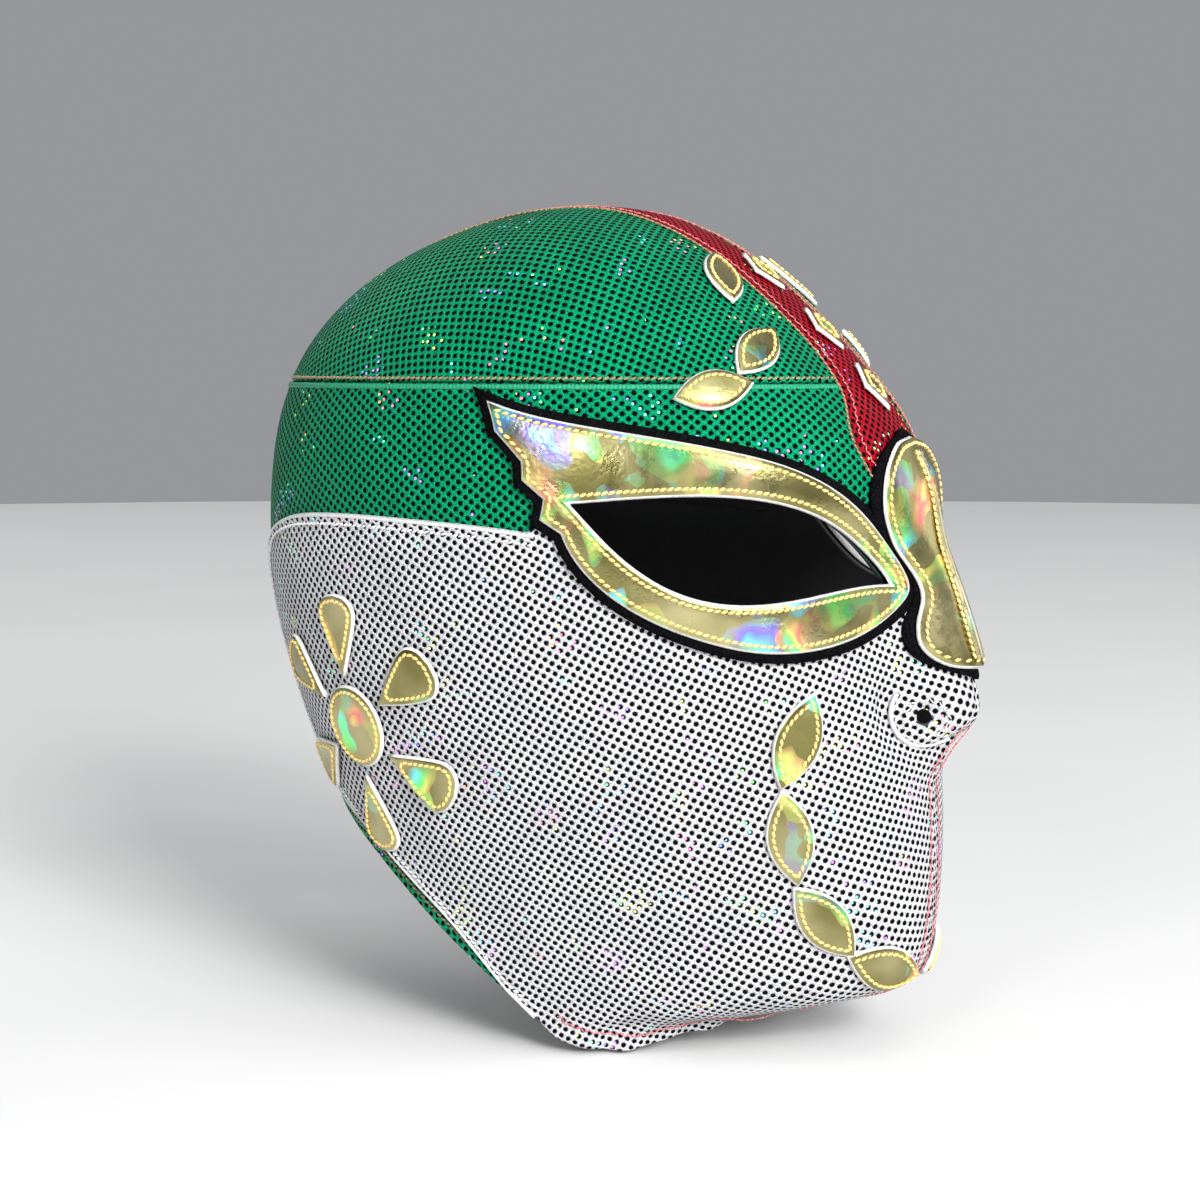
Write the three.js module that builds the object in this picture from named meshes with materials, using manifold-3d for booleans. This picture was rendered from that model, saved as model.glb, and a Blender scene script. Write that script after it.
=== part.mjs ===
// A wrestler's hood: mesh cloth panels sewn into a closed head shape, with a felt backing,
// two eye surrounds, a nose guard and small padded foil pieces sewn on top.
// Millimetres, Z up. The face looks along -Y and the wearer's left is +X.
// The origin is where the top of the head touches the inside of the crown.
import * as THREE from "three";
import { mergeVertices } from "three/addons/utils/BufferGeometryUtils.js";
import Module from "manifold-3d";

const wasm = await Module();
wasm.setup();
const degrees = Math.PI / 180;

// Head form
const headBreadth = 156;
const headLength = 200; // brow to the back of the head, without the nose
const hoodHeight = 236; // crown to the lowest stretch of the hem
const clothWall = 1.8;
const seamGap = 0.4;

// Nose and eye hollows. Depths below the crown here and further on are shares of the height.
const nose = { proud: 14, spread: 0.077 * headBreadth, tipDown: 0.56 * hoodHeight };
const hollow = {
  depth: 3,
  across: 0.18 * headBreadth,
  wide: 0.115 * headBreadth,
  down: 0.424 * hoodHeight,
  tall: 0.076 * hoodHeight,
};
const nostril = { radius: 2.6, across: 0.077 * headBreadth, down: 0.597 * hoodHeight };

// Panels
const crownSeamDown = 0.212 * hoodHeight;
const stripHalf = 13; // half the centre strip's width on the crown
const faceRear = 152 * degrees; // how far round the face panel reaches
const faceFoot = 80 * degrees; // where its lower edge leaves the hem
const hemBand = 9; // cloth left below the face panel at the back
const placket = { width: 26, thickness: 1.4, topDown: crownSeamDown + 6 };

// Layers sewn on, each lying clear of the one below
const layerGap = 0.3;
const feltGap = 0.6;
const feltThickness = 1.2;
const feltMargin = 3.2;
const surroundThickness = 1.5;
const foilThickness = 1.6;

// Eyes: an opening between two lids over a tilted line, and the band round it with its tail
const eye = {
  inner: 0.1 * headBreadth,
  long: 0.61 * headBreadth,
  down: 0.447 * hoodHeight,
  tilt: 14.5 * degrees,
  rise: 14,
  drop: 16.5,
};
const band = 9.5;
// The tail is stepped. out is a share of its reach behind the eye, up of its rise.
const tail = { out: 17, up: 22 };
const tailCorners = [
  { out: -0.06, up: -0.36 },
  { out: 0.3, up: -0.27 },
  { out: 0.3, up: -0.02 },
  { out: 0.65, up: 0.14 },
  { out: 0.65, up: 0.36 },
  { out: 1, up: 0.66 },
  { out: 1, up: 1 },
];
const guardHalf = 0.12 * headBreadth;
const ridgeProud = 0.9;

// Foil pieces: leaves end to end along two arcs, lozenges up the strip, a rosette at the side.
// An arc runs anticlockwise from the angle start, and its first leaf begins startSpace further on.
const crest = {
  across: 0.42 * headBreadth,
  down: 0.034 * hoodHeight,
  radius: 0.192 * hoodHeight,
  start: 180 * degrees,
  startSpace: 3.5,
  leaves: 3,
  leafSpace: 2.6,
};
const crestLeaf = { long: 21.5, wide: 10.5 };
const mouth = {
  across: 0,
  down: 0.686 * hoodHeight,
  radius: 0.327 * headBreadth,
  start: -90 * degrees,
  startSpace: 3.9,
  leaves: 4,
  leafSpace: 0.7,
};
const mouthLeaf = { long: 26, wide: 12 };
const lozenge = { long: 15, wide: 9.5 };
const lozengeDowns = [0.085, 0.153, 0.22].map((share) => share * hoodHeight);
const rosette = {
  around: 118 * degrees,
  down: 0.619 * hoodHeight,
  petals: 6,
  disc: 11.5,
  inner: 15,
};
const petal = { long: 22.5, wide: 15 };

// Horizontal sections from the crown down. down is a share of hoodHeight, front and back of
// half the headLength, side of half the headBreadth. narrow pinches the section at the face.
const sections = [
  { down: 0, front: 0, back: 0, side: 0, narrow: 0 },
  { down: 0.008, front: 0.17, back: 0.21, side: 0.23, narrow: 0 },
  { down: 0.031, front: 0.32, back: 0.41, side: 0.45, narrow: 0.01 },
  { down: 0.065, front: 0.46, back: 0.59, side: 0.64, narrow: 0.02 },
  { down: 0.115, front: 0.61, back: 0.76, side: 0.79, narrow: 0.04 },
  { down: 0.179, front: 0.77, back: 0.89, side: 0.9, narrow: 0.06 },
  { down: 0.252, front: 0.91, back: 0.965, side: 0.96, narrow: 0.07 },
  { down: 0.33, front: 0.99, back: 0.995, side: 0.99, narrow: 0.07 },
  { down: 0.415, front: 1.0, back: 1.0, side: 1.0, narrow: 0.06 },
  { down: 0.5, front: 1.01, back: 0.97, side: 0.98, narrow: 0.05 },
  { down: 0.585, front: 1.03, back: 0.91, side: 0.94, narrow: 0.05 },
  { down: 0.67, front: 1.05, back: 0.83, side: 0.88, narrow: 0.05 },
  { down: 0.757, front: 1.06, back: 0.74, side: 0.81, narrow: 0.05 },
  { down: 0.842, front: 1.05, back: 0.66, side: 0.74, narrow: 0.05 },
  { down: 0.9, front: 1.02, back: 0.62, side: 0.69, narrow: 0.05 },
  { down: 0.925, front: 0.96, back: 0.6, side: 0.67, narrow: 0.04 },
  { down: 0.941, front: 0.86, back: 0.585, side: 0.66, narrow: 0.03 },
  { down: 0.955, front: 0.72, back: 0.58, side: 0.655, narrow: 0.01 },
  { down: 0.97, front: 0.56, back: 0.575, side: 0.65, narrow: 0 },
  { down: 1, front: 0.47, back: 0.57, side: 0.66, narrow: 0 },
].map((row, index) => ({ ...row, index }));
const lastRow = sections.length - 1;

// The nose down the middle of the face. down is a share of tipDown, proud of nose.proud
// and spread of nose.spread.
const noseRows = [
  { down: 0.55, proud: 0, spread: 0.9 },
  { down: 0.7, proud: 0.28, spread: 0.85 },
  { down: 0.85, proud: 0.74, spread: 0.8 },
  { down: 0.96, proud: 0.98, spread: 0.85 },
  { down: 1.03, proud: 1, spread: 0.95 },
  { down: 1.09, proud: 0.84, spread: 1.05 },
  { down: 1.14, proud: 0.42, spread: 1.1 },
  { down: 1.2, proud: 0, spread: 1.1 },
];

// Where the face panel ends above and behind. around is a share of faceRear and down of
// hoodHeight.
const faceTop = [
  { around: 0, down: 0.455 },
  { around: 0.2, down: 0.44 },
  { around: 0.4, down: 0.41 },
  { around: 0.52, down: 0.386 },
  { around: 0.64, down: 0.375 },
  { around: 0.78, down: 0.372 },
  { around: 0.88, down: 0.383 },
  { around: 0.96, down: 0.415 },
  { around: 1, down: 0.47 },
];

// The hem. around is a share of a half turn from the face's middle, down of hoodHeight.
const hemRows = [
  { around: 0, down: 0.97 },
  { around: 0.14, down: 0.979 },
  { around: 0.25, down: 0.996 },
  { around: 0.32, down: 1 },
  { around: 0.44, down: 0.975 },
  { around: 0.58, down: 0.88 },
  { around: 0.72, down: 0.78 },
  { around: 0.86, down: 0.72 },
  { around: 1, down: 0.7 },
];

// The centre strip's half width. down is a share of hoodHeight, half of stripHalf.
const stripRows = [
  { down: 0, half: 1 },
  { down: 0.17, half: 1 },
  { down: 0.22, half: 1.2 },
  { down: 0.27, half: 1.7 },
  { down: 0.31, half: 1.6 },
  { down: 0.38, half: 0.9 },
  { down: 0.455, half: 0.65 },
];

// The nose guard's edge from the top down, and the felt shown beyond it. down is a share of
// nose.tipDown, half of guardHalf and margin of feltMargin.
const guardRows = [
  { down: 0.505, half: 0, margin: 1 },
  { down: 0.52, half: 0.5, margin: 1 },
  { down: 0.57, half: 0.9, margin: 1 },
  { down: 0.63, half: 1, margin: 1 },
  { down: 0.7, half: 0.8, margin: 0.75 },
  { down: 0.77, half: 0.5, margin: 0.45 },
  { down: 0.82, half: 0.42, margin: 0.5 },
  { down: 0.88, half: 0.53, margin: 1 },
  { down: 0.925, half: 0.53, margin: 1 },
  { down: 0.96, half: 0.33, margin: 1 },
  { down: 0.97, half: 0, margin: 1 },
];

// How closely the cloth is faceted: runs of columns to an angle, and of rows to a section
const columnRuns = [
  { to: 15, steps: 5 },
  { to: 45, steps: 4 },
  { to: 90, steps: 3 },
  { to: 150, steps: 5 },
  { to: 180, steps: 2 },
];
const rowRuns = [
  { to: 7, steps: 5 },
  { to: 13, steps: 9 },
  { to: lastRow, steps: 5 },
];
const fixedRows = 5.6; // rows above this lie level, those below follow the hem
const seamStep = 14; // how finely seams bend: along a level one, and in rows down an upright one
const rowStep = 0.8;

function readTable(rows, column, by, at, flatStart = false) {
  const last = rows.length - 1;
  let i = 0;
  while (i < last - 1 && at > rows[i + 1][by]) i++;
  const slope = (k) => {
    if (k === 0 && flatStart) return 0;
    const before = rows[Math.max(k - 1, 0)];
    const after = rows[Math.min(k + 1, last)];
    return (after[column] - before[column]) / (after[by] - before[by]);
  };
  const from = rows[i];
  const to = rows[i + 1];
  const span = to[by] - from[by];
  const q = THREE.MathUtils.clamp((at - from[by]) / span, 0, 1);
  const rest = 1 - q;
  return (
    from[column] * rest * rest * (1 + 2 * q) +
    to[column] * q * q * (3 - 2 * q) +
    span * slope(i) * q * rest * rest -
    span * slope(i + 1) * q * q * rest +
    Math.max(at - rows[last][by], 0) * slope(last)
  );
}

const downAt = (row) => hoodHeight * readTable(sections, "down", "index", row, true);

function rowAt(down) {
  let low = 0;
  let high = lastRow;
  for (let n = 0; n < 40; n++) {
    const middle = (low + high) / 2;
    if (downAt(middle) < down) low = middle;
    else high = middle;
  }
  return (low + high) / 2;
}

// How far the face stands forward of its plain section
function faceRelief(x, down) {
  const share = down / nose.tipDown;
  const inNose = share > noseRows[0].down && share < noseRows.at(-1).down;
  const proud = inNose ? nose.proud * readTable(noseRows, "proud", "down", share) : 0;
  const spread = nose.spread * readTable(noseRows, "spread", "down", share);
  const aside = (Math.abs(x) - hollow.across) / hollow.wide;
  const below = (down - hollow.down) / hollow.tall;
  const bridge = proud * Math.exp(-((x / spread) ** 2));
  return bridge - hollow.depth * Math.exp(-aside * aside - below * below);
}

// A point of the outer cloth: around is the angle from the face's middle towards the
// wearer's left, row a place between the sections.
function hoodPoint(around, row, relief = 1) {
  const read = (column) => readTable(sections, column, "index", row);
  const forward = Math.cos(around);
  const half = (headLength / 2) * read(forward > 0 ? "front" : "back");
  const side = (headBreadth / 2) * read("side");
  const x = side * Math.sin(around) * (1 - read("narrow") * forward);
  const down = downAt(row);
  const face = forward > 0 ? relief * faceRelief(x, down) : 0;
  return new THREE.Vector3(x, -half * forward - face, clothWall - down);
}

function hoodNormal(around, row) {
  const small = 0.01;
  if (row < small) return new THREE.Vector3(0, 0, 1);
  const along = hoodPoint(around + small, row).sub(hoodPoint(around - small, row));
  const low = Math.min(row + small, lastRow);
  const downward = hoodPoint(around, low).sub(hoodPoint(around, low - 2 * small));
  return downward.cross(along).normalize();
}

const hemDown = (around) =>
  hoodHeight * readTable(hemRows, "down", "around", Math.abs(around) / Math.PI);
const hemRow = (around) => rowAt(hemDown(around));

// A solid from corners and faces
function solidOf(corners, faces) {
  const geometry = new THREE.BufferGeometry().setFromPoints(corners).setIndex(faces.flat());
  const merged = mergeVertices(geometry, 1e-4);
  const { array: index } = merged.index;
  const kept = [];
  for (let n = 0; n < index.length; n += 3) {
    const face = [...index.slice(n, n + 3)];
    if (new Set(face).size === 3) kept.push(...face);
  }
  const vertProperties = merged.attributes.position.array;
  const triVerts = new Uint32Array(kept);
  return new wasm.Manifold(new wasm.Mesh({ numProp: 3, vertProperties, triVerts }));
}

const runValues = (runs) => {
  const values = [0];
  for (const { to, steps } of runs) {
    const from = values.at(-1);
    for (let n = 1; n <= steps; n++) values.push(from + ((to - from) * n) / steps);
  }
  return values;
};

// The whole hood as one wall, open at the neck
function hoodShell() {
  const half = runValues(columnRuns).map((angle) => angle * degrees);
  const columns = [...half, ...half.slice(1, -1).reverse().map((angle) => -angle)];
  const rows = runValues(rowRuns).slice(1);
  const corners = [new THREE.Vector3(0, 0, clothWall), new THREE.Vector3()];
  for (const around of columns) {
    const scale = (hemRow(around) - fixedRows) / (lastRow - fixedRows);
    for (const plain of rows) {
      const row = plain < fixedRows ? plain : fixedRows + (plain - fixedRows) * scale;
      const outer = hoodPoint(around, row);
      corners.push(outer, outer.clone().addScaledVector(hoodNormal(around, row), -clothWall));
    }
  }
  const faces = [];
  const at = (column, row, layer) =>
    2 + ((column % columns.length) * rows.length + row) * 2 + layer;
  columns.forEach((_, c) => {
    faces.push([0, at(c, 0, 0), at(c + 1, 0, 0)]);
    faces.push([1, at(c + 1, 0, 1), at(c, 0, 1)]);
    for (let r = 0; r < rows.length - 1; r++) {
      faces.push([at(c, r, 0), at(c, r + 1, 0), at(c + 1, r + 1, 0)]);
      faces.push([at(c, r, 0), at(c + 1, r + 1, 0), at(c + 1, r, 0)]);
      faces.push([at(c, r, 1), at(c + 1, r + 1, 1), at(c, r + 1, 1)]);
      faces.push([at(c, r, 1), at(c + 1, r, 1), at(c + 1, r + 1, 1)]);
    }
    const rim = rows.length - 1;
    faces.push([at(c, rim, 0), at(c, rim, 1), at(c + 1, rim, 1)]);
    faces.push([at(c, rim, 0), at(c + 1, rim, 1), at(c + 1, rim, 0)]);
  });
  return solidOf(corners, faces);
}

// Seams, as paths of {around, row} on the cloth
const sideAt = (row) => (headBreadth / 2) * readTable(sections, "side", "index", row);
const stripHalfAt = (down) => stripHalf * readTable(stripRows, "half", "down", down / hoodHeight);

function stripEdge(side) {
  let topRow = 0.2;
  while (sideAt(topRow) < stripHalf) topRow += 0.005;
  const lean = (row, half) => Math.asin(Math.min(half / sideAt(row), 1));
  const frontRow = rowAt(hoodHeight * faceTop[0].down);
  const backRow = rowAt(crownSeamDown);
  const steps = 16;
  const path = [];
  for (let n = steps; n >= 0; n--) {
    const row = topRow + (frontRow - topRow) * (n / steps) ** 1.5;
    path.push({ around: side * lean(row, stripHalfAt(downAt(row))), row });
  }
  for (let n = 1; n <= steps / 2; n++) {
    const row = topRow + (backRow - topRow) * ((2 * n) / steps) ** 2;
    path.push({ around: side * (Math.PI - lean(row, stripHalf)), row });
  }
  return path;
}

function level(from, to, downOf) {
  const count = Math.ceil((Math.abs(to - from) * headLength) / 2 / seamStep);
  return Array.from({ length: count + 1 }, (_, n) => {
    const around = from + ((to - from) * n) / count;
    return { around, row: rowAt(downOf(around)) };
  });
}

function upright(around, fromDown, toDown) {
  const [from, to] = [rowAt(fromDown), rowAt(toDown)];
  const count = Math.ceil((to - from) / rowStep);
  return Array.from({ length: count + 1 }, (_, n) => ({
    around,
    row: from + ((to - from) * n) / count,
  }));
}

// A path carried on past its last point, to run out over the hem
function pastHem(path) {
  const { around, row } = path.at(-1);
  return [...path.slice(0, -1), { around, row: row + 0.4 }];
}

const faceTopDown = (around) =>
  hoodHeight * readTable(faceTop, "down", "around", around / faceRear);

function faceEdge(side) {
  const stops = faceTop.slice(0, -1).flatMap(({ around }, n) => {
    const next = faceTop[n + 1].around;
    return [around, (around + next) / 2].map((share) => share * faceRear);
  });
  const top = stops.map((around) => ({ around, row: rowAt(faceTopDown(around)) }));
  const lowCorner = hemDown(faceRear) - 3 * hemBand;
  const rear = upright(faceRear, hoodHeight * faceTop.at(-1).down, lowCorner);
  const under = (around) => {
    const near = THREE.MathUtils.smoothstep(around, faceFoot, faceFoot + 30 * degrees);
    const corner = THREE.MathUtils.smoothstep(around, faceRear - 14 * degrees, faceRear);
    return hemDown(around) - hemBand * near - 2 * hemBand * corner;
  };
  const low = pastHem(level(faceRear, faceFoot, under).slice(1));
  return [...top, ...rear, ...low].map(({ around, row }) => ({ around: side * around, row }));
}

// A thin blade that follows a seam and cuts right through the cloth
function seamBlade(path) {
  const clear = 2.5;
  const points = path.map(({ around, row }) => hoodPoint(around, row));
  const corners = points.flatMap((point, n) => {
    const before = points[Math.max(n - 1, 0)];
    const after = points[Math.min(n + 1, points.length - 1)];
    const outward = hoodNormal(path[n].around, Math.min(path[n].row, hemRow(path[n].around)));
    const aside = after.clone().sub(before).cross(outward).setLength(seamGap / 2);
    const high = outward.clone().multiplyScalar(clear);
    const low = outward.clone().multiplyScalar(-clothWall - clear);
    return [
      point.clone().add(aside).add(high),
      point.clone().sub(aside).add(high),
      point.clone().sub(aside).add(low),
      point.clone().add(aside).add(low),
    ];
  });
  const faces = [];
  const last = (points.length - 1) * 4;
  faces.push([0, 1, 2], [0, 2, 3], [last, last + 2, last + 1], [last, last + 3, last + 2]);
  for (let n = 0; n < last; n += 4) {
    for (let k = 0; k < 4; k++) {
      // both long sides are split along the same diagonal, so that they stay parallel
      const [a, b] = [n + k, n + ((k + 1) % 4)];
      if (k < 2) faces.push([a, a + 4, b + 4], [a, b + 4, b]);
      else faces.push([a, a + 4, b], [a + 4, b + 4, b]);
    }
  }
  return solidOf(corners, faces);
}

// Two ways to lay a flat pattern on the cloth. Both return a function from flat
// millimetres to {around, row}.
// Wrapped round the face: u is the distance round the head from the face's middle.
function wrapped(u, v) {
  const row = rowAt(-v);
  const step = 1.5 * degrees * Math.sign(u || 1);
  let around = 0;
  let gone = 0;
  let from = hoodPoint(0, row, 0);
  for (;;) {
    const to = hoodPoint(around + step, row, 0);
    const length = to.distanceTo(from);
    if (gone + length >= Math.abs(u)) {
      return { around: around + (step * (Math.abs(u) - gone)) / length, row };
    }
    gone += length;
    around += step;
    from = to;
  }
}

// Laid flat on the cloth at one spot, turned anticlockwise, and pressed straight down.
function pressed(centre, turn = 0) {
  const { around: midAround, row: midRow } = centre;
  const origin = hoodPoint(midAround, midRow);
  const outward = hoodNormal(midAround, midRow);
  const across = new THREE.Vector3(0, 0, 1).cross(outward).normalize();
  const upward = outward.clone().cross(across);
  return (u, v) => {
    const right = u * Math.cos(turn) - v * Math.sin(turn);
    const up = u * Math.sin(turn) + v * Math.cos(turn);
    let around = midAround;
    let row = midRow;
    for (let n = 0; n < 12; n++) {
      const point = hoodPoint(around, row);
      const small = 0.005;
      const byAround = hoodPoint(around + small, row).sub(point).divideScalar(small);
      const byRow = hoodPoint(around, row + small).sub(point).divideScalar(small);
      const off = point.sub(origin);
      const missRight = right - off.dot(across);
      const missUp = up - off.dot(upward);
      const [a, b] = [byAround.dot(across), byRow.dot(across)];
      const [c, d] = [byAround.dot(upward), byRow.dot(upward)];
      const scale = a * d - b * c;
      around += (missRight * d - missUp * b) / scale;
      row += (missUp * a - missRight * c) / scale;
    }
    return { around, row };
  };
}

// A sheet laid on the cloth between two edges, which are lists of flat points in step with
// each other. Low and high are its two faces' heights above the cloth. shares are the places
// of its corners from one edge to the other, and proud adds to the height at each of them.
function sheet({ from, to, shares = [0, 0.5, 1], proud = [], ring = false }, lay, low, high) {
  const across = shares.length;
  const corners = from.flatMap((start, n) =>
    shares.flatMap((share, k) => {
      const flat = start.clone().lerp(to[n], share);
      const { around, row } = lay(flat.x, flat.y);
      const outward = hoodNormal(around, row);
      return [low, high + (proud[k] ?? 0)].map((height) =>
        hoodPoint(around, row).addScaledVector(outward, height),
      );
    }),
  );
  const at = (n, k, layer) => ((n % from.length) * across + k) * 2 + layer;
  const faces = [];
  const quad = (a, b, c, d) => faces.push([a, b, c], [a, c, d]);
  const spans = from.length - (ring ? 0 : 1);
  for (let n = 0; n < spans; n++) {
    for (let k = 0; k < across - 1; k++) {
      quad(at(n, k, 1), at(n + 1, k, 1), at(n + 1, k + 1, 1), at(n, k + 1, 1));
      quad(at(n, k, 0), at(n, k + 1, 0), at(n + 1, k + 1, 0), at(n + 1, k, 0));
    }
    const end = across - 1;
    quad(at(n, 0, 0), at(n + 1, 0, 0), at(n + 1, 0, 1), at(n, 0, 1));
    quad(at(n, end, 1), at(n + 1, end, 1), at(n + 1, end, 0), at(n, end, 0));
  }
  for (let k = 0; k < across - 1 && !ring; k++) {
    quad(at(0, k, 0), at(0, k, 1), at(0, k + 1, 1), at(0, k + 1, 0));
    quad(at(spans, k, 0), at(spans, k + 1, 0), at(spans, k + 1, 1), at(spans, k, 1));
  }
  return solidOf(corners, faces);
}

const flat = (x, y) => new THREE.Vector2(x, y);
const spline = (points, count) => new THREE.SplineCurve(points).getPoints(count);
const mirrored = (points) => points.map(({ x, y }) => flat(-x, y));
const belowAxis = (points) => points.map(({ x, y }) => flat(x, -y));

// Leaves and lozenges are centred, petals point away from their origin
function leafEdges({ long, wide }) {
  const ends = [flat(-long / 2, 0), flat(long / 2, 0)];
  const to = new THREE.QuadraticBezierCurve(ends[0], flat(0, wide), ends[1]).getPoints(6);
  return { from: belowAxis(to), to };
}

function lozengeEdges({ long, wide }) {
  const to = [flat(-wide / 2, 0), flat(0, long / 2), flat(wide / 2, 0)];
  return { from: belowAxis(to), to };
}

function petalEdges({ long, wide }, start) {
  const shares = [
    [0, 0],
    [0.45, 0.34],
    [0.78, 0.5],
    [0.95, 0.32],
    [1, 0],
  ];
  const to = spline(shares.map(([along, half]) => flat(start + along * long, half * wide)), 7);
  return { from: belowAxis(to), to };
}

function discEdges(radius, count) {
  const to = Array.from({ length: count + 1 }, (_, n) => {
    const angle = Math.PI * (1 - n / count);
    return flat(radius * Math.cos(angle), radius * Math.sin(angle));
  });
  return { from: belowAxis(to), to };
}

// The eye opening and its surround, over a line that starts at the eye's inner corner
function overEyeLine({ x, y }) {
  return flat(x, y).rotateAround(flat(0, 0), eye.tilt).add(flat(eye.inner, -eye.down));
}

// A lid is an arc whose top lies towards one end: skew 1 puts it in the middle
const eyeLid = (share, height, skew) =>
  overEyeLine(flat(share * eye.long, height * Math.sin(Math.PI * share ** skew)));
const upperLid = (share) => eyeLid(share, eye.rise, 0.75);
const lowerLid = (share) => eyeLid(share, -eye.drop, 1.3);

function eyeEdges() {
  const shares = Array.from({ length: 11 }, (_, n) => n / 10);
  return { from: shares.map(lowerLid), to: shares.map(upperLid) };
}

// The band round the eye: its inner edge follows the lids and its outer edge the brow, the
// stepped tail and the cheek. extra widens it outwards, for the felt behind it.
function surroundEdges(extra = 0) {
  const { long, rise, drop } = eye;
  const end = -0.45 * band;
  const [floor, roof] = [-drop - band, rise + band];
  const steps = tailCorners.map(({ out, up }) => flat(long + out * tail.out, up * tail.up));
  const [heel, tip] = [steps[0], steps.at(-1)];
  const curve = (...numbers) => {
    const points = [0, 2, 4, 6].map((n) => flat(numbers[n], numbers[n + 1]));
    return new THREE.CubicBezierCurve(...points).getPoints(6).slice(0, -1);
  };
  const outer = [
    ...curve(end, 0, end, -0.8 * band, 0.2 * long, floor, 0.48 * long, floor),
    ...curve(0.48 * long, floor, 0.7 * long, floor, 0.9 * long, 0.8 * floor, heel.x, heel.y),
    ...steps,
    ...curve(tip.x, tip.y, long + 0.2 * tail.out, 0.8 * roof, 0.8 * long, roof,
      0.5 * long, roof).slice(1),
    ...curve(0.5 * long, roof, 0.2 * long, roof, end, 0.8 * band, end, 0),
  ];
  const heelPlace = 12;
  const tipPlace = heelPlace + steps.length - 1;
  const lidEnd = 0.985;
  // the inner edge follows the lower lid, goes round the outer corner, and returns on the upper lid
  const inner = outer.map((_, n) => {
    let share = lidEnd + (2 * (1 - lidEnd) * (n - heelPlace)) / (tipPlace - heelPlace);
    if (n < heelPlace) share = (lidEnd * n) / heelPlace;
    if (n > tipPlace) share = 2 - (lidEnd * (outer.length - n)) / (outer.length - tipPlace);
    return share < 1 ? lowerLid(share) : upperLid(2 - share);
  });
  return { from: grown(outer, extra).map(overEyeLine), to: inner, ring: true };
}

// A closed outline pushed outwards, keeping its corners. It runs anticlockwise.
function grown(ring, by) {
  const outward = (a, b) => flat(b.y - a.y, a.x - b.x).normalize();
  return ring.map((point, n) => {
    const first = outward(ring.at(n - 1), point);
    const second = outward(point, ring[(n + 1) % ring.length]);
    const mitre = first.clone().add(second).normalize();
    return point.clone().addScaledVector(mitre, by / Math.max(mitre.dot(first), 0.55));
  });
}

// The right edge of the nose guard, from the top down, or of the felt behind it
function guardEdge(felt) {
  const points = guardRows.map(({ down, half, margin }, n) => {
    const show = felt ? margin * feltMargin : 0;
    const beyond = n === 0 ? show : n === guardRows.length - 1 ? -show : 0;
    return flat(half * guardHalf + (beyond ? 0 : show), beyond - down * nose.tipDown);
  });
  return spline(points, 18);
}

// The hood's panels: the whole wall, cut along its seams and opened for eyes and nostrils
function hoodPanels() {
  const seams = [
    pastHem(upright(0, hoodHeight * faceTop[0].down, hoodHeight)),
    pastHem(upright(Math.PI, crownSeamDown, hemDown(Math.PI))),
  ];
  for (const side of [1, -1]) {
    const strip = stripEdge(side);
    const start = strip.find(({ row }) => downAt(row) <= crownSeamDown).around;
    seams.push(strip, faceEdge(side));
    seams.push(level(start, side * (Math.PI + 0.01), () => crownSeamDown));
  }
  const [low, high] = [-clothWall - 3, 3];
  const place = wrapped(nostril.across, -nostril.down);
  const holes = [
    sheet({ ...eyeEdges(), shares: [0, 1] }, wrapped, low, high),
    sheet({ ...discEdges(nostril.radius, 4), shares: [0, 1] }, pressed(place), low, high),
  ];
  const cutters = [...seams.map(seamBlade), ...holes];
  cutters.push(...holes.map((hole) => hole.mirror([1, 0, 0])));
  const wall = cutters.reduce((cloth, cutter) => cloth.subtract(cutter), hoodShell());
  const bodies = wall.decompose();
  const distance = (body, seed) => {
    const { vertProperties } = body.getMesh();
    let least = Infinity;
    for (let n = 0; n < vertProperties.length; n += 3) {
      const corner = new THREE.Vector3(...vertProperties.slice(n, n + 3));
      least = Math.min(least, seed.distanceTo(corner));
    }
    return least;
  };
  const seeds = [
    { name: "centre_strip", around: 0, down: 30 },
    { name: "crown_left", around: 90, down: 30 },
    { name: "crown_right", around: -90, down: 30 },
    { name: "side_left", around: 110, down: 70 },
    { name: "side_right", around: -110, down: 70 },
    { name: "face_left", around: 70, down: 160 },
    { name: "face_right", around: -70, down: 160 },
  ];
  return seeds.map(({ name, around, down }) => {
    const seed = hoodPoint(around * degrees, rowAt(down));
    const nearest = bodies.reduce((best, body) =>
      distance(body, seed) < distance(best, seed) ? body : best,
    );
    return { name, solid: nearest };
  });
}

// Materials
const finish = (color, roughness, metalness) =>
  new THREE.MeshStandardMaterial({ color, roughness, metalness });
const greenMesh = finish(0x0f8a5a, 0.75, 0.1);
const whiteMesh = finish(0xd4d4d6, 0.7, 0.1);
const redMesh = finish(0xa01528, 0.7, 0.1);
const blackFelt = finish(0x0b0b0c, 0.95, 0);
const giltFoil = finish(0xb79a3c, 0.25, 0.9);

const hood = new THREE.Group();

function addMesh(name, solid, material, parent = hood) {
  const { vertProperties, triVerts } = solid.getMesh();
  const geometry = new THREE.BufferGeometry();
  geometry.setAttribute("position", new THREE.BufferAttribute(vertProperties, 3));
  geometry.setIndex(new THREE.BufferAttribute(triVerts, 1));
  geometry.computeVertexNormals();
  const mesh = new THREE.Mesh(geometry, material);
  mesh.name = name;
  parent.add(mesh);
  return mesh;
}

// The wearer's left piece and its mirror image on the right
function addPair(nameOf, solid, material) {
  addMesh(nameOf("left"), solid, material);
  addMesh(nameOf("right"), solid, material).scale.set(-1, 1, 1);
}

const panelFinish = { centre: redMesh, crown: greenMesh, side: greenMesh, face: whiteMesh };
for (const { name, solid } of hoodPanels()) {
  addMesh(name, solid, panelFinish[name.split("_")[0]]);
}

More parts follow.
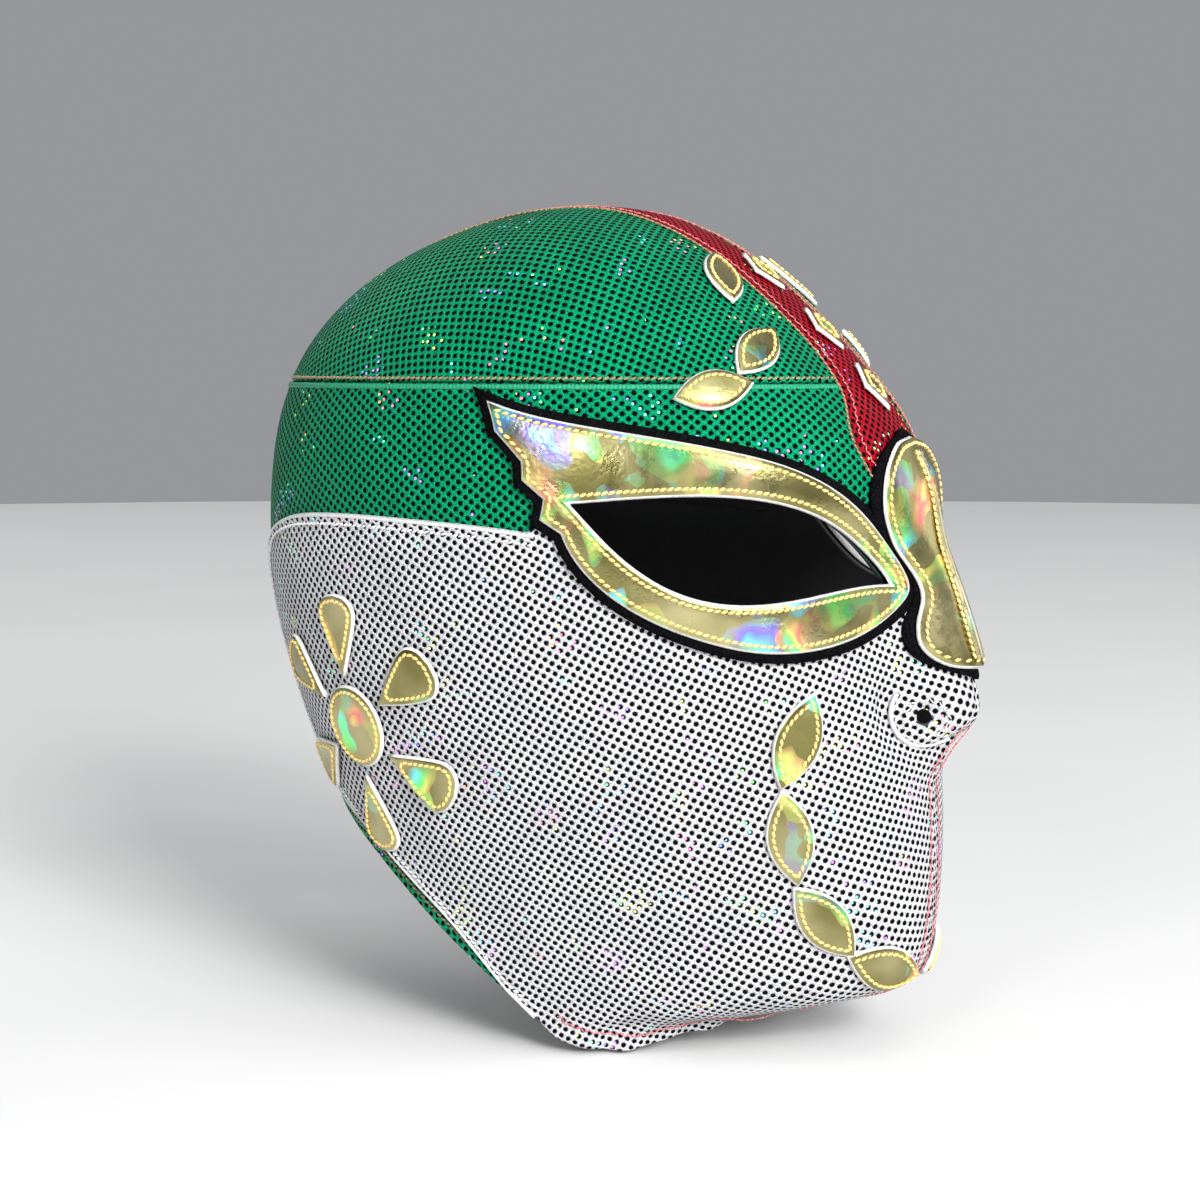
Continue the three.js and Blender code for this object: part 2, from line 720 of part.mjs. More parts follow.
// Closing strip down the back
const placketSteps = 9;
const placketTo = Array.from({ length: placketSteps + 1 }, (_, n) => {
  const foot = hemDown(Math.PI) - 1;
  return flat(-placket.width / 2, -placket.topDown + ((placket.topDown - foot) * n) / placketSteps);
});
const placketEdges = { from: placketTo, to: mirrored(placketTo), shares: [0, 0.25, 0.5, 0.75, 1] };
const roundBack = (u, v) => {
  const row = rowAt(-v);
  return { around: Math.PI + Math.asin(u / sideAt(row)), row };
};
const placketTop = layerGap + placket.thickness;
addMesh("back_placket", sheet(placketEdges, roundBack, layerGap, placketTop), greenMesh);

// Felt behind the nose guard and behind each eye. The eye's felt stops short of the nose's.
const feltTop = feltGap + feltThickness;
const noseFelt = guardEdge(true);
const guardShares = [0, 0.2, 0.4, 0.5, 0.6, 0.8, 1];
addMesh(
  "felt_nose",
  sheet({ from: mirrored(noseFelt), to: noseFelt, shares: guardShares }, wrapped, feltGap, feltTop),
  blackFelt,
);
const eyeFelt = surroundEdges(feltMargin);
for (const point of eyeFelt.from) {
  const beside = noseFelt.slice(1).find((edge) => edge.y <= point.y) ?? noseFelt.at(-1);
  const above = noseFelt[Math.max(noseFelt.indexOf(beside) - 1, 0)];
  const share = (above.y - point.y) / (above.y - beside.y);
  const inward = THREE.MathUtils.lerp(above.x, beside.x, THREE.MathUtils.clamp(share, 0, 1));
  point.x = Math.max(point.x, inward + seamGap);
}
addPair((side) => "felt_eye_" + side, sheet(eyeFelt, wrapped, feltGap, feltTop), blackFelt);

// Eye surrounds, and the nose guard with its ridge
const topLow = feltTop + layerGap;
const topHigh = topLow + surroundThickness;
const surroundSolid = sheet(surroundEdges(), wrapped, topLow, topHigh);
addPair((side) => "eye_surround_" + side, surroundSolid, giltFoil);
const guardTo = guardEdge(false);
const guardSheet = {
  from: mirrored(guardTo),
  to: guardTo,
  shares: guardShares,
  proud: guardShares.map((share) => (share === 0.5 ? ridgeProud : 0)),
};
addMesh("nose_guard", sheet(guardSheet, wrapped, topLow, topHigh), giltFoil);

// Foil leaves, lozenges and rosettes
const foilTop = layerGap + foilThickness;

function addGarland(arc, leaf, title) {
  for (let n = 0; n < arc.leaves; n++) {
    const along = arc.startSpace + leaf.long / 2 + n * (leaf.long + arc.leafSpace);
    const angle = arc.start + along / arc.radius;
    const u = arc.across + arc.radius * Math.cos(angle);
    const v = -arc.down + arc.radius * Math.sin(angle);
    const lay = pressed(wrapped(u, v), angle + Math.PI / 2);
    const solid = sheet(leafEdges(leaf), lay, layerGap, foilTop);
    addPair((side) => `${title}_${side}_${n + 1}`, solid, giltFoil);
  }
}
addGarland(crest, crestLeaf, "crest_leaf");
addGarland(mouth, mouthLeaf, "mouth_leaf");

lozengeDowns.forEach((down, n) => {
  const solid = sheet(lozengeEdges(lozenge), pressed({ around: 0, row: rowAt(down) }), layerGap, foilTop);
  addMesh(`strip_lozenge_${n + 1}`, solid, giltFoil);
});

const rosettePlace = { around: rosette.around, row: rowAt(rosette.down) };
const disc = sheet(discEdges(rosette.disc, 8), pressed(rosettePlace), layerGap, foilTop);
addPair((side) => "rosette_disc_" + side, disc, giltFoil);
for (let n = 0; n < rosette.petals; n++) {
  const turn = ((n + 0.5) * 2 * Math.PI) / rosette.petals;
  const edges = petalEdges(petal, rosette.inner);
  const solid = sheet(edges, pressed(rosettePlace, turn), layerGap, foilTop);
  addPair((side) => `rosette_petal_${side}_${n + 1}`, solid, giltFoil);
}

export default hood;
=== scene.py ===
import math

import bmesh
import bpy
import numpy as np
from mathutils import Matrix, Vector


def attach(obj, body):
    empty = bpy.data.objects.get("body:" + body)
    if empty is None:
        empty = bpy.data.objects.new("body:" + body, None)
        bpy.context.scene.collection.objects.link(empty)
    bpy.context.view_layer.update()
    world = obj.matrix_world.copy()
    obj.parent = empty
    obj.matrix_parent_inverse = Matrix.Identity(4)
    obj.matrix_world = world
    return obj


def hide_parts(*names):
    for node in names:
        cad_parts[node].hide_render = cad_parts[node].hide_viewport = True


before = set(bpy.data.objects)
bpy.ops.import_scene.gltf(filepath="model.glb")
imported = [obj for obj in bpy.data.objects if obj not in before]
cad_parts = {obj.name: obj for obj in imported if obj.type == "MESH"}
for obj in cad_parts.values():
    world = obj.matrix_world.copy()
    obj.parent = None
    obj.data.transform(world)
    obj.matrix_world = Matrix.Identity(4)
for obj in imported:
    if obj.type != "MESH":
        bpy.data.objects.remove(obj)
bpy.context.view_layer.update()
print("frame loaded:", len(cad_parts), "solids")

# The head's form, as in the part's source but in metres. Depths below the crown are shares
# of the height.
head = {"breadth": 0.156, "length": 0.2, "height": 0.236, "clothWall": 0.0018}
nose = {"proud": 0.014, "spread": 0.077 * head["breadth"], "tipDown": 0.56 * head["height"]}
hollow = {
    "depth": 0.003,
    "across": 0.18 * head["breadth"],
    "wide": 0.115 * head["breadth"],
    "down": 0.424 * head["height"],
    "tall": 0.076 * head["height"],
}
headMiddle = Vector((0, 0, -head["height"] / 2))

# down (share of the height), front and back (of half the length), side (of half the
# breadth), how far the face is pinched
sections = [
    (0, 0, 0, 0, 0),
    (0.008, 0.17, 0.21, 0.23, 0),
    (0.031, 0.32, 0.41, 0.45, 0.01),
    (0.065, 0.46, 0.59, 0.64, 0.02),
    (0.115, 0.61, 0.76, 0.79, 0.04),
    (0.179, 0.77, 0.89, 0.9, 0.06),
    (0.252, 0.91, 0.965, 0.96, 0.07),
    (0.33, 0.99, 0.995, 0.99, 0.07),
    (0.415, 1.0, 1.0, 1.0, 0.06),
    (0.5, 1.01, 0.97, 0.98, 0.05),
    (0.585, 1.03, 0.91, 0.94, 0.05),
    (0.67, 1.05, 0.83, 0.88, 0.05),
    (0.757, 1.06, 0.74, 0.81, 0.05),
    (0.842, 1.05, 0.66, 0.74, 0.05),
    (0.9, 1.02, 0.62, 0.69, 0.05),
    (0.925, 0.96, 0.6, 0.67, 0.04),
    (0.941, 0.86, 0.585, 0.66, 0.03),
    (0.955, 0.72, 0.58, 0.655, 0.01),
    (0.97, 0.56, 0.575, 0.65, 0),
    (1, 0.47, 0.57, 0.66, 0),
]
lastRow = len(sections) - 1

# down the nose (share of the tip's depth), proud, spread
noseRows = [
    (0.55, 0, 0.9),
    (0.7, 0.28, 0.85),
    (0.85, 0.74, 0.8),
    (0.96, 0.98, 0.85),
    (1.03, 1, 0.95),
    (1.09, 0.84, 1.05),
    (1.14, 0.42, 1.1),
    (1.2, 0, 1.1),
]


def follow(table, column, at, by=0, flatStart=False):
    # a smooth curve through one column of a table; by None goes by the row's number
    rows = np.array(table, float)
    xs = np.arange(len(rows)) if by is None else rows[:, by]
    ys = rows[:, column]
    at = np.asarray(at, float)
    last = len(xs) - 1
    place = np.arange(last + 1)
    before, after = np.maximum(place - 1, 0), np.minimum(place + 1, last)
    slope = (ys[after] - ys[before]) / (xs[after] - xs[before])
    if flatStart:
        slope[0] = 0
    i = np.clip(np.searchsorted(xs, at) - 1, 0, last - 1)
    span = xs[i + 1] - xs[i]
    q = np.clip((at - xs[i]) / span, 0, 1)
    rest = 1 - q
    curve = ys[i] * rest**2 * (1 + 2 * q) + ys[i + 1] * q**2 * (3 - 2 * q)
    return curve + span * q * rest * (slope[i] * rest - slope[i + 1] * q)


def between(low, high, share):
    return low + (high - low) * share


def smoothRise(value, start, end):
    q = np.clip((value - start) / (end - start), 0, 1)
    return q * q * (3 - 2 * q)


def downAt(row):
    return head["height"] * follow(sections, 0, row, by=None, flatStart=True)


denseRows = np.linspace(0, lastRow, 3801)
denseDowns = downAt(denseRows)


def rowAt(down):
    return np.interp(down, denseDowns, denseRows)


def sideAt(row):
    return head["breadth"] / 2 * follow(sections, 3, row, by=None)


def faceRelief(x, down):
    share = down / nose["tipDown"]
    inNose = (share > noseRows[0][0]) & (share < noseRows[-1][0])
    proud = nose["proud"] * follow(noseRows, 1, share) * inNose
    spread = nose["spread"] * follow(noseRows, 2, share)
    aside = (np.abs(x) - hollow["across"]) / hollow["wide"]
    below = (down - hollow["down"]) / hollow["tall"]
    return proud * np.exp(-((x / spread) ** 2)) - hollow["depth"] * np.exp(-(aside**2) - below**2)


def hoodPoint(around, row, relief=1):
    # a point of the outer cloth: around is the angle from the face's middle towards the
    # wearer's left, row a place between the sections
    around, row = np.broadcast_arrays(np.asarray(around, float), np.asarray(row, float))
    forward = np.cos(around)
    column = np.where(forward > 0, follow(sections, 1, row, None), follow(sections, 2, row, None))
    half = head["length"] / 2 * column
    x = sideAt(row) * np.sin(around) * (1 - follow(sections, 4, row, None) * forward)
    down = downAt(row)
    face = np.where(forward > 0, relief * faceRelief(x, down), 0)
    return np.stack([x, -half * forward - face, head["clothWall"] - down], axis=-1)


def hoodNormal(around, row):
    small = 0.01
    row = np.maximum(row, 2 * small)
    along = hoodPoint(around + small, row) - hoodPoint(around - small, row)
    downward = hoodPoint(around, row + small) - hoodPoint(around, row - small)
    outward = np.cross(downward, along)
    return outward / np.linalg.norm(outward, axis=-1, keepdims=True)


def onCloth(around, row, height=0.0):
    return hoodPoint(around, row) + hoodNormal(around, row) * np.asarray(height)[..., None]


girthRows = np.linspace(0.5, lastRow, 186)
girthTurns = np.radians(np.arange(0, 201))
girthPoints = hoodPoint(girthTurns[None, :], girthRows[:, None], 0)
girthSteps = np.linalg.norm(np.diff(girthPoints, axis=1), axis=2)
girths = np.concatenate([np.zeros((len(girthRows), 1)), np.cumsum(girthSteps, axis=1)], axis=1)


def wrapped(flat):
    # flat metres to (around, row): u is the distance round the head from the face's middle
    row = rowAt(-flat[..., 1])
    place = np.clip((row - girthRows[0]) / (girthRows[1] - girthRows[0]), 0, len(girthRows) - 1.001)
    around = np.zeros(row.shape)
    for index in np.ndindex(row.shape):
        low = int(place[index])
        lengths = between(girths[low], girths[low + 1], place[index] - low)
        u = flat[index][0]
        around[index] = math.copysign(np.interp(abs(u), lengths, girthTurns), u)
    return around, row


def pressed(middle, turn=0.0):
    # laid flat on the cloth at one spot, turned anticlockwise, and pressed straight down
    middleAround, middleRow = (float(value) for value in middle)
    origin = hoodPoint(middleAround, middleRow)
    outward = hoodNormal(middleAround, middleRow)
    across = np.cross([0, 0, 1], outward)
    across /= np.linalg.norm(across)
    upward = np.cross(outward, across)

    def lay(flat):
        right = flat[..., 0] * math.cos(turn) - flat[..., 1] * math.sin(turn)
        up = flat[..., 0] * math.sin(turn) + flat[..., 1] * math.cos(turn)
        around = np.full(right.shape, middleAround)
        row = np.full(right.shape, middleRow)
        small = 0.005
        for _ in range(12):
            point = hoodPoint(around, row)
            byAround = (hoodPoint(around + small, row) - point) / small
            byRow = (hoodPoint(around, row + small) - point) / small
            off = point - origin
            missRight, missUp = right - off @ across, up - off @ upward
            a, b = byAround @ across, byRow @ across
            c, d = byAround @ upward, byRow @ upward
            scale = a * d - b * c
            around = around + (missRight * d - missUp * b) / scale
            row = row + (missUp * a - missRight * c) / scale
        return around, row

    return lay


# Meshes
def newPiece(name, mesh, materials, replaced=()):
    data = bpy.data.meshes.new(name)
    mesh.to_mesh(data)
    mesh.free()
    for polygon in data.polygons:
        polygon.use_smooth = True
    piece = bpy.data.objects.new(name, data)
    bpy.context.scene.collection.objects.link(piece)
    for material in materials:
        data.materials.append(material)
    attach(piece, "root")
    if replaced:
        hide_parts(*replaced)
    return piece


def addGrid(mesh, points, flat, side=1, material=None):
    # a grid of faces put where the points say; flat is kept as the cloth's own map
    columns, rows = points.shape[:2]
    made = bmesh.ops.create_grid(mesh, x_segments=columns - 1, y_segments=rows - 1, size=0.5)
    uv = mesh.loops.layers.uv.verify()
    turned = 0.0
    faces = {face for vert in made["verts"] for face in vert.link_faces}
    places = {}
    for vert in made["verts"]:
        place = (round((vert.co.x + 0.5) * (columns - 1)), round((vert.co.y + 0.5) * (rows - 1)))
        places[vert] = place
        x, y, z = points[place]
        vert.co = (side * x, y, z)
    for face in faces:
        if material:
            face.material_index = material(*min(places[vert] for vert in face.verts))
        face.normal_update()
        turned += face.normal.dot(face.calc_center_median() - headMiddle) * face.calc_area()
        for loop in face.loops:
            loop[uv].uv = flat[places[loop.vert]]
    if turned < 0:
        bmesh.ops.reverse_faces(mesh, faces=list(faces))


def thicken(piece, wall, inside=0, levels=0):
    # a wall behind the sheet, made smoother first where levels says so; inside is the place
    # of the wall's material in the piece's list
    if levels:
        smoother = piece.modifiers.new("Smoother", "SUBSURF")
        smoother.levels = smoother.render_levels = levels
    solid = piece.modifiers.new("Wall", "SOLIDIFY")
    solid.thickness, solid.offset = wall, -1
    solid.material_offset = solid.material_offset_rim = inside


# Materials
def feed(tree, node, inputs):
    # a value that is another node's socket is linked, any other is set
    for key, value in inputs.items():
        if isinstance(value, bpy.types.NodeSocket):
            tree.links.new(value, node.inputs[key])
        else:
            node.inputs[key].default_value = value


def putNode(tree, kind, inputs=None, **settings):
    node = tree.nodes.new("ShaderNode" + kind)
    for key, value in settings.items():
        setattr(node, key, value)
    feed(tree, node, inputs or {})
    return node


def calculate(tree, operation, first, second=0.0, third=0.0):
    inputs = {0: first, 1: second, 2: third}
    return putNode(tree, "Math", inputs, operation=operation).outputs[0]


def calculateVector(tree, operation, first, second=(0, 0, 0)):
    node = putNode(tree, "VectorMath", {0: first, 1: second}, operation=operation)
    return node.outputs["Value" if operation in ("LENGTH", "DISTANCE") else "Vector"]


def fadeBetween(tree, value, low, high, toLow=0.0, toHigh=1.0):
    inputs = {"Value": value, "From Min": low, "From Max": high, "To Min": toLow, "To Max": toHigh}
    return putNode(tree, "MapRange", inputs, interpolation_type="SMOOTHSTEP").outputs[0]


def mixColour(tree, share, first, second):
    return putNode(tree, "Mix", {0: share, 6: first, 7: second}, data_type="RGBA").outputs[2]


def hueColour(tree, hue):
    return putNode(tree, "CombineColor", {0: hue, 1: 0.75, 2: 1.0}, mode="HSV").outputs[0]


def noiseAt(tree, vector, scale, detail=2.0, roughness=0.5, output=0):
    inputs = {"Vector": vector, "Scale": scale, "Detail": detail, "Roughness": roughness}
    return putNode(tree, "TexNoise", inputs).outputs[output]


def bumpFrom(tree, height, distance, strength):
    inputs = {"Height": height, "Distance": distance, "Strength": strength}
    return putNode(tree, "Bump", inputs).outputs[0]


def newGroup(name, inputs, outputs):
    group = bpy.data.node_groups.new(name, "ShaderNodeTree")
    for label, value in inputs.items():
        kind = "NodeSocketVector" if isinstance(value, tuple) else "NodeSocketFloat"
        group.interface.new_socket(label, in_out="INPUT", socket_type=kind).default_value = value
    for label, kind in outputs.items():
        group.interface.new_socket(label, in_out="OUTPUT", socket_type="NodeSocket" + kind)
    return group, group.nodes.new("NodeGroupInput").outputs, group.nodes.new("NodeGroupOutput")


# The net's holes lie as on a draughtboard: pitch is from one to the next across, tall the
# share of it from one to the next downwards, and hole the share that is a hole's radius.
# soft, rim and crest are shares of the pitch by which the edge fades and the cloth rises,
# waver how far the holes stray. dark is the holes' colour, painted shade: the shaded hollow
# seen through them, over the dark lining.
meshCloth = {
    "pitch": 0.0033,
    "tall": 0.87,
    "hole": 0.215,
    "soft": 0.03,
    "rim": 0.06,
    "crest": 0.11,
    "waver": 0.12,
    "depth": 0.0005,
    "dark": (0.003, 0.003, 0.004, 1),
    "green": (0.0, 0.36, 0.16, 1),
    "greenShade": (0.0, 0.08, 0.03, 1),
    "white": (0.82, 0.82, 0.84, 1),
    "whiteShade": (0.27, 0.27, 0.3, 1),
    "red": (0.5, 0.002, 0.016, 1),
    "redShade": (0.13, 0.001, 0.006, 1),
}
# The glints are painted highlights: coloured spots put into the net's colour and made to glow
# by emission, in place of light that the glitter throws back. stray, solid and end are shares of
# the net's pitch: how far a glint is from the middle of its cell, and where it begins and ends to
# fade
paintedGlint = {"stray": 0.36, "solid": 0.08, "end": 0.15, "crowds": 75.0, "hues": 40.0, "paintedGlow": 0.32}


def netGroup():
    # round holes, with the number of each hole's cell and the place in it for the glitter's painted
    # glints
    group, start, end = newGroup(
        "net",
        {"Pattern": (0, 0, 0), "Pitch": 0.003, "Hole": 0.2},
        {"Hole": "Float", "Height": "Float", "Cell": "Vector", "Place": "Vector"},
    )
    tall, waver, soft = meshCloth["tall"], meshCloth["waver"], meshCloth["soft"]
    stray = noiseAt(group, start["Pattern"], 350.0, 1.0, output="Color")
    stray = calculateVector(group, "SUBTRACT", stray, (0.5, 0.5, 0.5))
    stray = calculateVector(group, "MULTIPLY", stray, (waver, waver, 0))
    inputs = {0: start["Pattern"], "Scale": calculate(group, "DIVIDE", 1.0, start["Pitch"])}
    inPitches = putNode(group, "VectorMath", inputs, operation="SCALE").outputs[0]
    spot = calculateVector(group, "ADD", inPitches, stray)
    spot = calculateVector(group, "DIVIDE", spot, (1, tall, 1))
    insides, aways, numbers = [], [], []
    for shift in (0.0, 0.5):
        moved = calculateVector(group, "ADD", spot, (shift, shift, 0))
        cell = calculateVector(group, "FLOOR", moved)
        inside = calculateVector(group, "SUBTRACT", moved, cell)
        inside = calculateVector(group, "SUBTRACT", inside, (0.5, 0.5, 0))
        insides.append(calculateVector(group, "MULTIPLY", inside, (1, tall, 0)))
        aways.append(calculateVector(group, "LENGTH", insides[-1]))
        numbers.append(calculateVector(group, "ADD", cell, (shift * 37, shift * 91, 0)))
    nearer = calculate(group, "LESS_THAN", aways[1], aways[0])
    away = calculate(group, "MINIMUM", *aways)
    edge = lambda by: calculate(group, "ADD", start["Hole"], by)
    results = {
        "Hole": fadeBetween(group, away, edge(-soft), edge(soft), 1.0, 0.0),
        "Height": fadeBetween(group, away, edge(-meshCloth["rim"]), edge(meshCloth["crest"])),
    }
    for key, (first, second) in {"Cell": numbers, "Place": insides}.items():
        mixed = putNode(group, "Mix", {0: nearer, 4: first, 5: second}, data_type="VECTOR")
        results[key] = mixed.outputs[1]
    feed(group, end, results)
    return group


def glitterAndPaintedGlintGroup():
    # painted glints: small coloured spots of painted highlight, in clusters of neighbouring cells
    group, start, end = newGroup(
        "glitterAndPaintedGlints",
        {"Pattern": (0, 0, 0), "Cell": (0, 0, 0), "Place": (0, 0, 0), "Cluster": 0.6, "Share": 0.5},
        {"Colour": "Color", "Mask": "Float"},
    )
    chance = putNode(group, "TexWhiteNoise", {"Vector": start["Cell"]}).outputs
    offset = calculateVector(group, "SUBTRACT", chance["Color"], (0.5, 0.5, 0.5))
    offset = calculateVector(group, "MULTIPLY", offset, (paintedGlint["stray"], paintedGlint["stray"], 0))
    away = calculateVector(group, "DISTANCE", start["Place"], offset)
    spot = fadeBetween(group, away, paintedGlint["solid"], paintedGlint["end"], 1.0, 0.0)
    crowd = noiseAt(group, start["Pattern"], paintedGlint["crowds"], 1.0)
    inCrowd = calculate(group, "GREATER_THAN", crowd, start["Cluster"])
    lucky = calculate(group, "LESS_THAN", chance["Value"], start["Share"])
    mask = calculate(group, "MULTIPLY", calculate(group, "MULTIPLY", inCrowd, lucky), spot)
    hue = noiseAt(group, start["Pattern"], paintedGlint["hues"], 0.0)
    hue = calculate(group, "MULTIPLY_ADD", hue, 2.6, -0.75)
    hue = calculate(group, "MULTIPLY_ADD", chance["Value"], 0.16, hue)
    hue = calculate(group, "FRACT", hue)
    feed(group, end, {"Mask": mask, "Colour": hueColour(group, hue)})
    return group


def paintedRainbowGroup():
    # painted reflection: rainbow patches as on holographic film, from red to violet, fixed on the
    # foil in place of the coloured light the film throws back
    group, start, end = newGroup(
        "paintedRainbow",
        {"Place": (0, 0, 0), "Scale": 60.0, "Share": 0.3},
        {"Colour": "Color", "Mask": "Float"},
    )
    bent = noiseAt(group, start["Place"], 45.0, output="Color")
    bent = calculateVector(group, "MULTIPLY", bent, (0.03, 0.03, 0.03))
    bent = calculateVector(group, "ADD", start["Place"], bent)
    patches = putNode(group, "TexVoronoi", {"Vector": bent, "Scale": start["Scale"]}).outputs
    split = putNode(group, "SeparateColor", {0: patches["Color"]}).outputs
    near = fadeBetween(group, patches["Distance"], 0.25, 0.6, 1.0, 0.25)
    chosen = calculate(group, "LESS_THAN", split[0], start["Share"])
    hue = calculate(group, "MULTIPLY_ADD", noiseAt(group, bent, 70.0, 1.0), 1.5, split[1])
    hue = calculate(group, "PINGPONG", hue, 0.7)
    mask = calculate(group, "MULTIPLY", chosen, near)
    feed(group, end, {"Mask": mask, "Colour": hueColour(group, hue)})
    return group


net, glitterAndPaintedGlints, paintedRainbow = netGroup(), glitterAndPaintedGlintGroup(), paintedRainbowGroup()


def newMaterial(name):
    material = bpy.data.materials.new(name)
    material.use_nodes = True
    tree = material.node_tree
    return material, tree, tree.nodes["Principled BSDF"]


def netMaterial(colour, cluster, share):
    material, tree, shader = newMaterial(colour + "Net")
    plain, shade = meshCloth[colour], meshCloth[colour + "Shade"]
    pattern = putNode(tree, "UVMap").outputs[0]
    inputs = {"Pattern": pattern, "Pitch": meshCloth["pitch"], "Hole": meshCloth["hole"]}
    holes = putNode(tree, "Group", inputs, node_tree=net).outputs
    inputs = {key: holes[key] for key in ("Cell", "Place")}
    inputs |= {"Pattern": pattern, "Cluster": cluster, "Share": share}
    paintedGlints = putNode(tree, "Group", inputs, node_tree=glitterAndPaintedGlints).outputs
    knit = noiseAt(tree, pattern, 2600.0, 2.0, 0.6)
    broad = noiseAt(tree, pattern, 55.0, 3.0)
    tone = mixColour(tree, fadeBetween(tree, knit, 0.36, 0.58), shade, plain)
    tone = mixColour(tree, fadeBetween(tree, broad, 0.3, 0.75, 0.0, 0.3), tone, shade)
    # painted shade: the holes take the near-black colour of the shaded hollow behind them
    tone = mixColour(tree, holes["Hole"], tone, meshCloth["dark"])
    height = calculate(tree, "MULTIPLY_ADD", knit, 0.45, holes["Height"])
    # painted highlights: the glint spots go into the base colour and glow through emission
    look = {
        "Base Color": mixColour(tree, paintedGlints["Mask"], tone, paintedGlints["Colour"]),
        "Roughness": calculate(tree, "MULTIPLY_ADD", holes["Hole"], 0.53, 0.42),
        "Normal": bumpFrom(tree, height, meshCloth["depth"], 0.8),
        "Emission Color": mixColour(tree, paintedGlints["Mask"], (0, 0, 0, 1), paintedGlints["Colour"]),
        "Emission Strength": paintedGlint["paintedGlow"],
        "Metallic": 0.25,
        "Specular IOR Level": 0.1,
    }
    feed(tree, shader, look)
    return material


# the foil's tones, then the size and share of its rainbow patches of painted reflection, and how
# strongly they glow through emission
foilLook = {
    "olive": (0.24, 0.215, 0.07, 1),
    "pale": (0.56, 0.5, 0.25, 1),
    "bright": (0.85, 0.78, 0.5, 1),
    "patchScale": 95.0,
    "patchShare": 0.31,
    "paintedGlow": 0.06,
}


def foilMaterial(name, dark, light):
    material, tree, shader = newMaterial(name)
    place = putNode(tree, "TexCoord").outputs["Object"]
    inputs = {"Place": place, "Scale": foilLook["patchScale"], "Share": foilLook["patchShare"]}
    patches = putNode(tree, "Group", inputs, node_tree=paintedRainbow).outputs
    cloud = noiseAt(tree, place, 38.0, 2.0)
    base = mixColour(tree, fadeBetween(tree, cloud, 0.35, 0.7), foilLook[dark], foilLook[light])
    crease = noiseAt(tree, place, 160.0, 2.0)
    height = calculate(tree, "MULTIPLY_ADD", crease, 2.0, noiseAt(tree, place, 900.0, 2.0))
    # painted reflection: the rainbow patches go into the base colour and glow through emission
    look = {
        "Base Color": mixColour(tree, patches["Mask"], base, patches["Colour"]),
        "Metallic": 1.0,
        "Roughness": fadeBetween(tree, crease, 0.3, 0.7, 0.24, 0.38),
        "Normal": bumpFrom(tree, height, 0.0003, 0.25),
        "Emission Color": mixColour(tree, patches["Mask"], (0, 0, 0, 1), patches["Colour"]),
        "Emission Strength": foilLook["paintedGlow"],
        "Coat Weight": 0.2,
        "Coat Roughness": 0.08,
    }
    feed(tree, shader, look)
    return material


# noise is the fibres' scale, detail and roughness, parting where their two tones meet, relief
# the depth and strength of their bumps, and ribs the scale of a knitted edge's ribs
fibres = {
    "thread": {
        "noise": (2400.0, 3.0, 0.6),
        "parting": (0.35, 0.65),
        "relief": (0.0002, 0.6),
        "shader": {"Roughness": 0.38, "Sheen Weight": 0.2},
    },
    "foam": {
        "noise": (1500.0, 3.0),
        "parting": (0.3, 0.7),
        "relief": (0.0003, 0.5),
        "shader": {"Roughness": 0.7},
    },
    "felt": {
        "noise": (1800.0, 4.0, 0.7),
        "parting": (0.4, 0.75),
        "relief": (0.0006, 0.7),
        "shader": {"Roughness": 1.0, "Specular IOR Level": 0.03},
    },
    "lining": {
        "noise": (1600.0, 2.0),
        "relief": (0.0003, 0.5),
        "shader": {"Roughness": 0.85},
    },
    "tape": {
        "noise": (2200.0, 3.0, 0.6),
        "parting": (0.35, 1.1),
        "relief": (0.0003, 0.7),
        "ribs": 240.0,
        "shader": {"Roughness": 0.45},
    },
    "floor": {"noise": (6.0, 2.0), "shader": {"Roughness": 0.75}},
}


def fibreMaterial(name, kind, dark, light):
    material, tree, shader = newMaterial(name)
    fibre = fibres[kind]
    coordinates = putNode(tree, "TexCoord").outputs
    height = noiseAt(tree, coordinates["Object"], *fibre["noise"])
    if "ribs" in fibre:
        inputs = {"Vector": coordinates["UV"], "Scale": fibre["ribs"], "Distortion": 4.0}
        ribs = putNode(tree, "TexWave", inputs).outputs["Fac"]
        height = calculate(tree, "MULTIPLY_ADD", ribs, 0.25, height)
    share = fadeBetween(tree, height, *fibre["parting"]) if "parting" in fibre else height
    feed(tree, shader, {"Base Color": mixColour(tree, share, dark, light), **fibre["shader"]})
    if "relief" in fibre:
        feed(tree, shader, {"Normal": bumpFrom(tree, height, *fibre["relief"])})
    return material


greenNet = netMaterial("green", 0.6, 0.42)
whiteNet = netMaterial("white", 0.59, 0.45)
redNet = netMaterial("red", 0.6, 0.4)
giltFoil = foilMaterial("giltFoil", "olive", "pale")
paleFoil = foilMaterial("paleFoil", "pale", "bright")
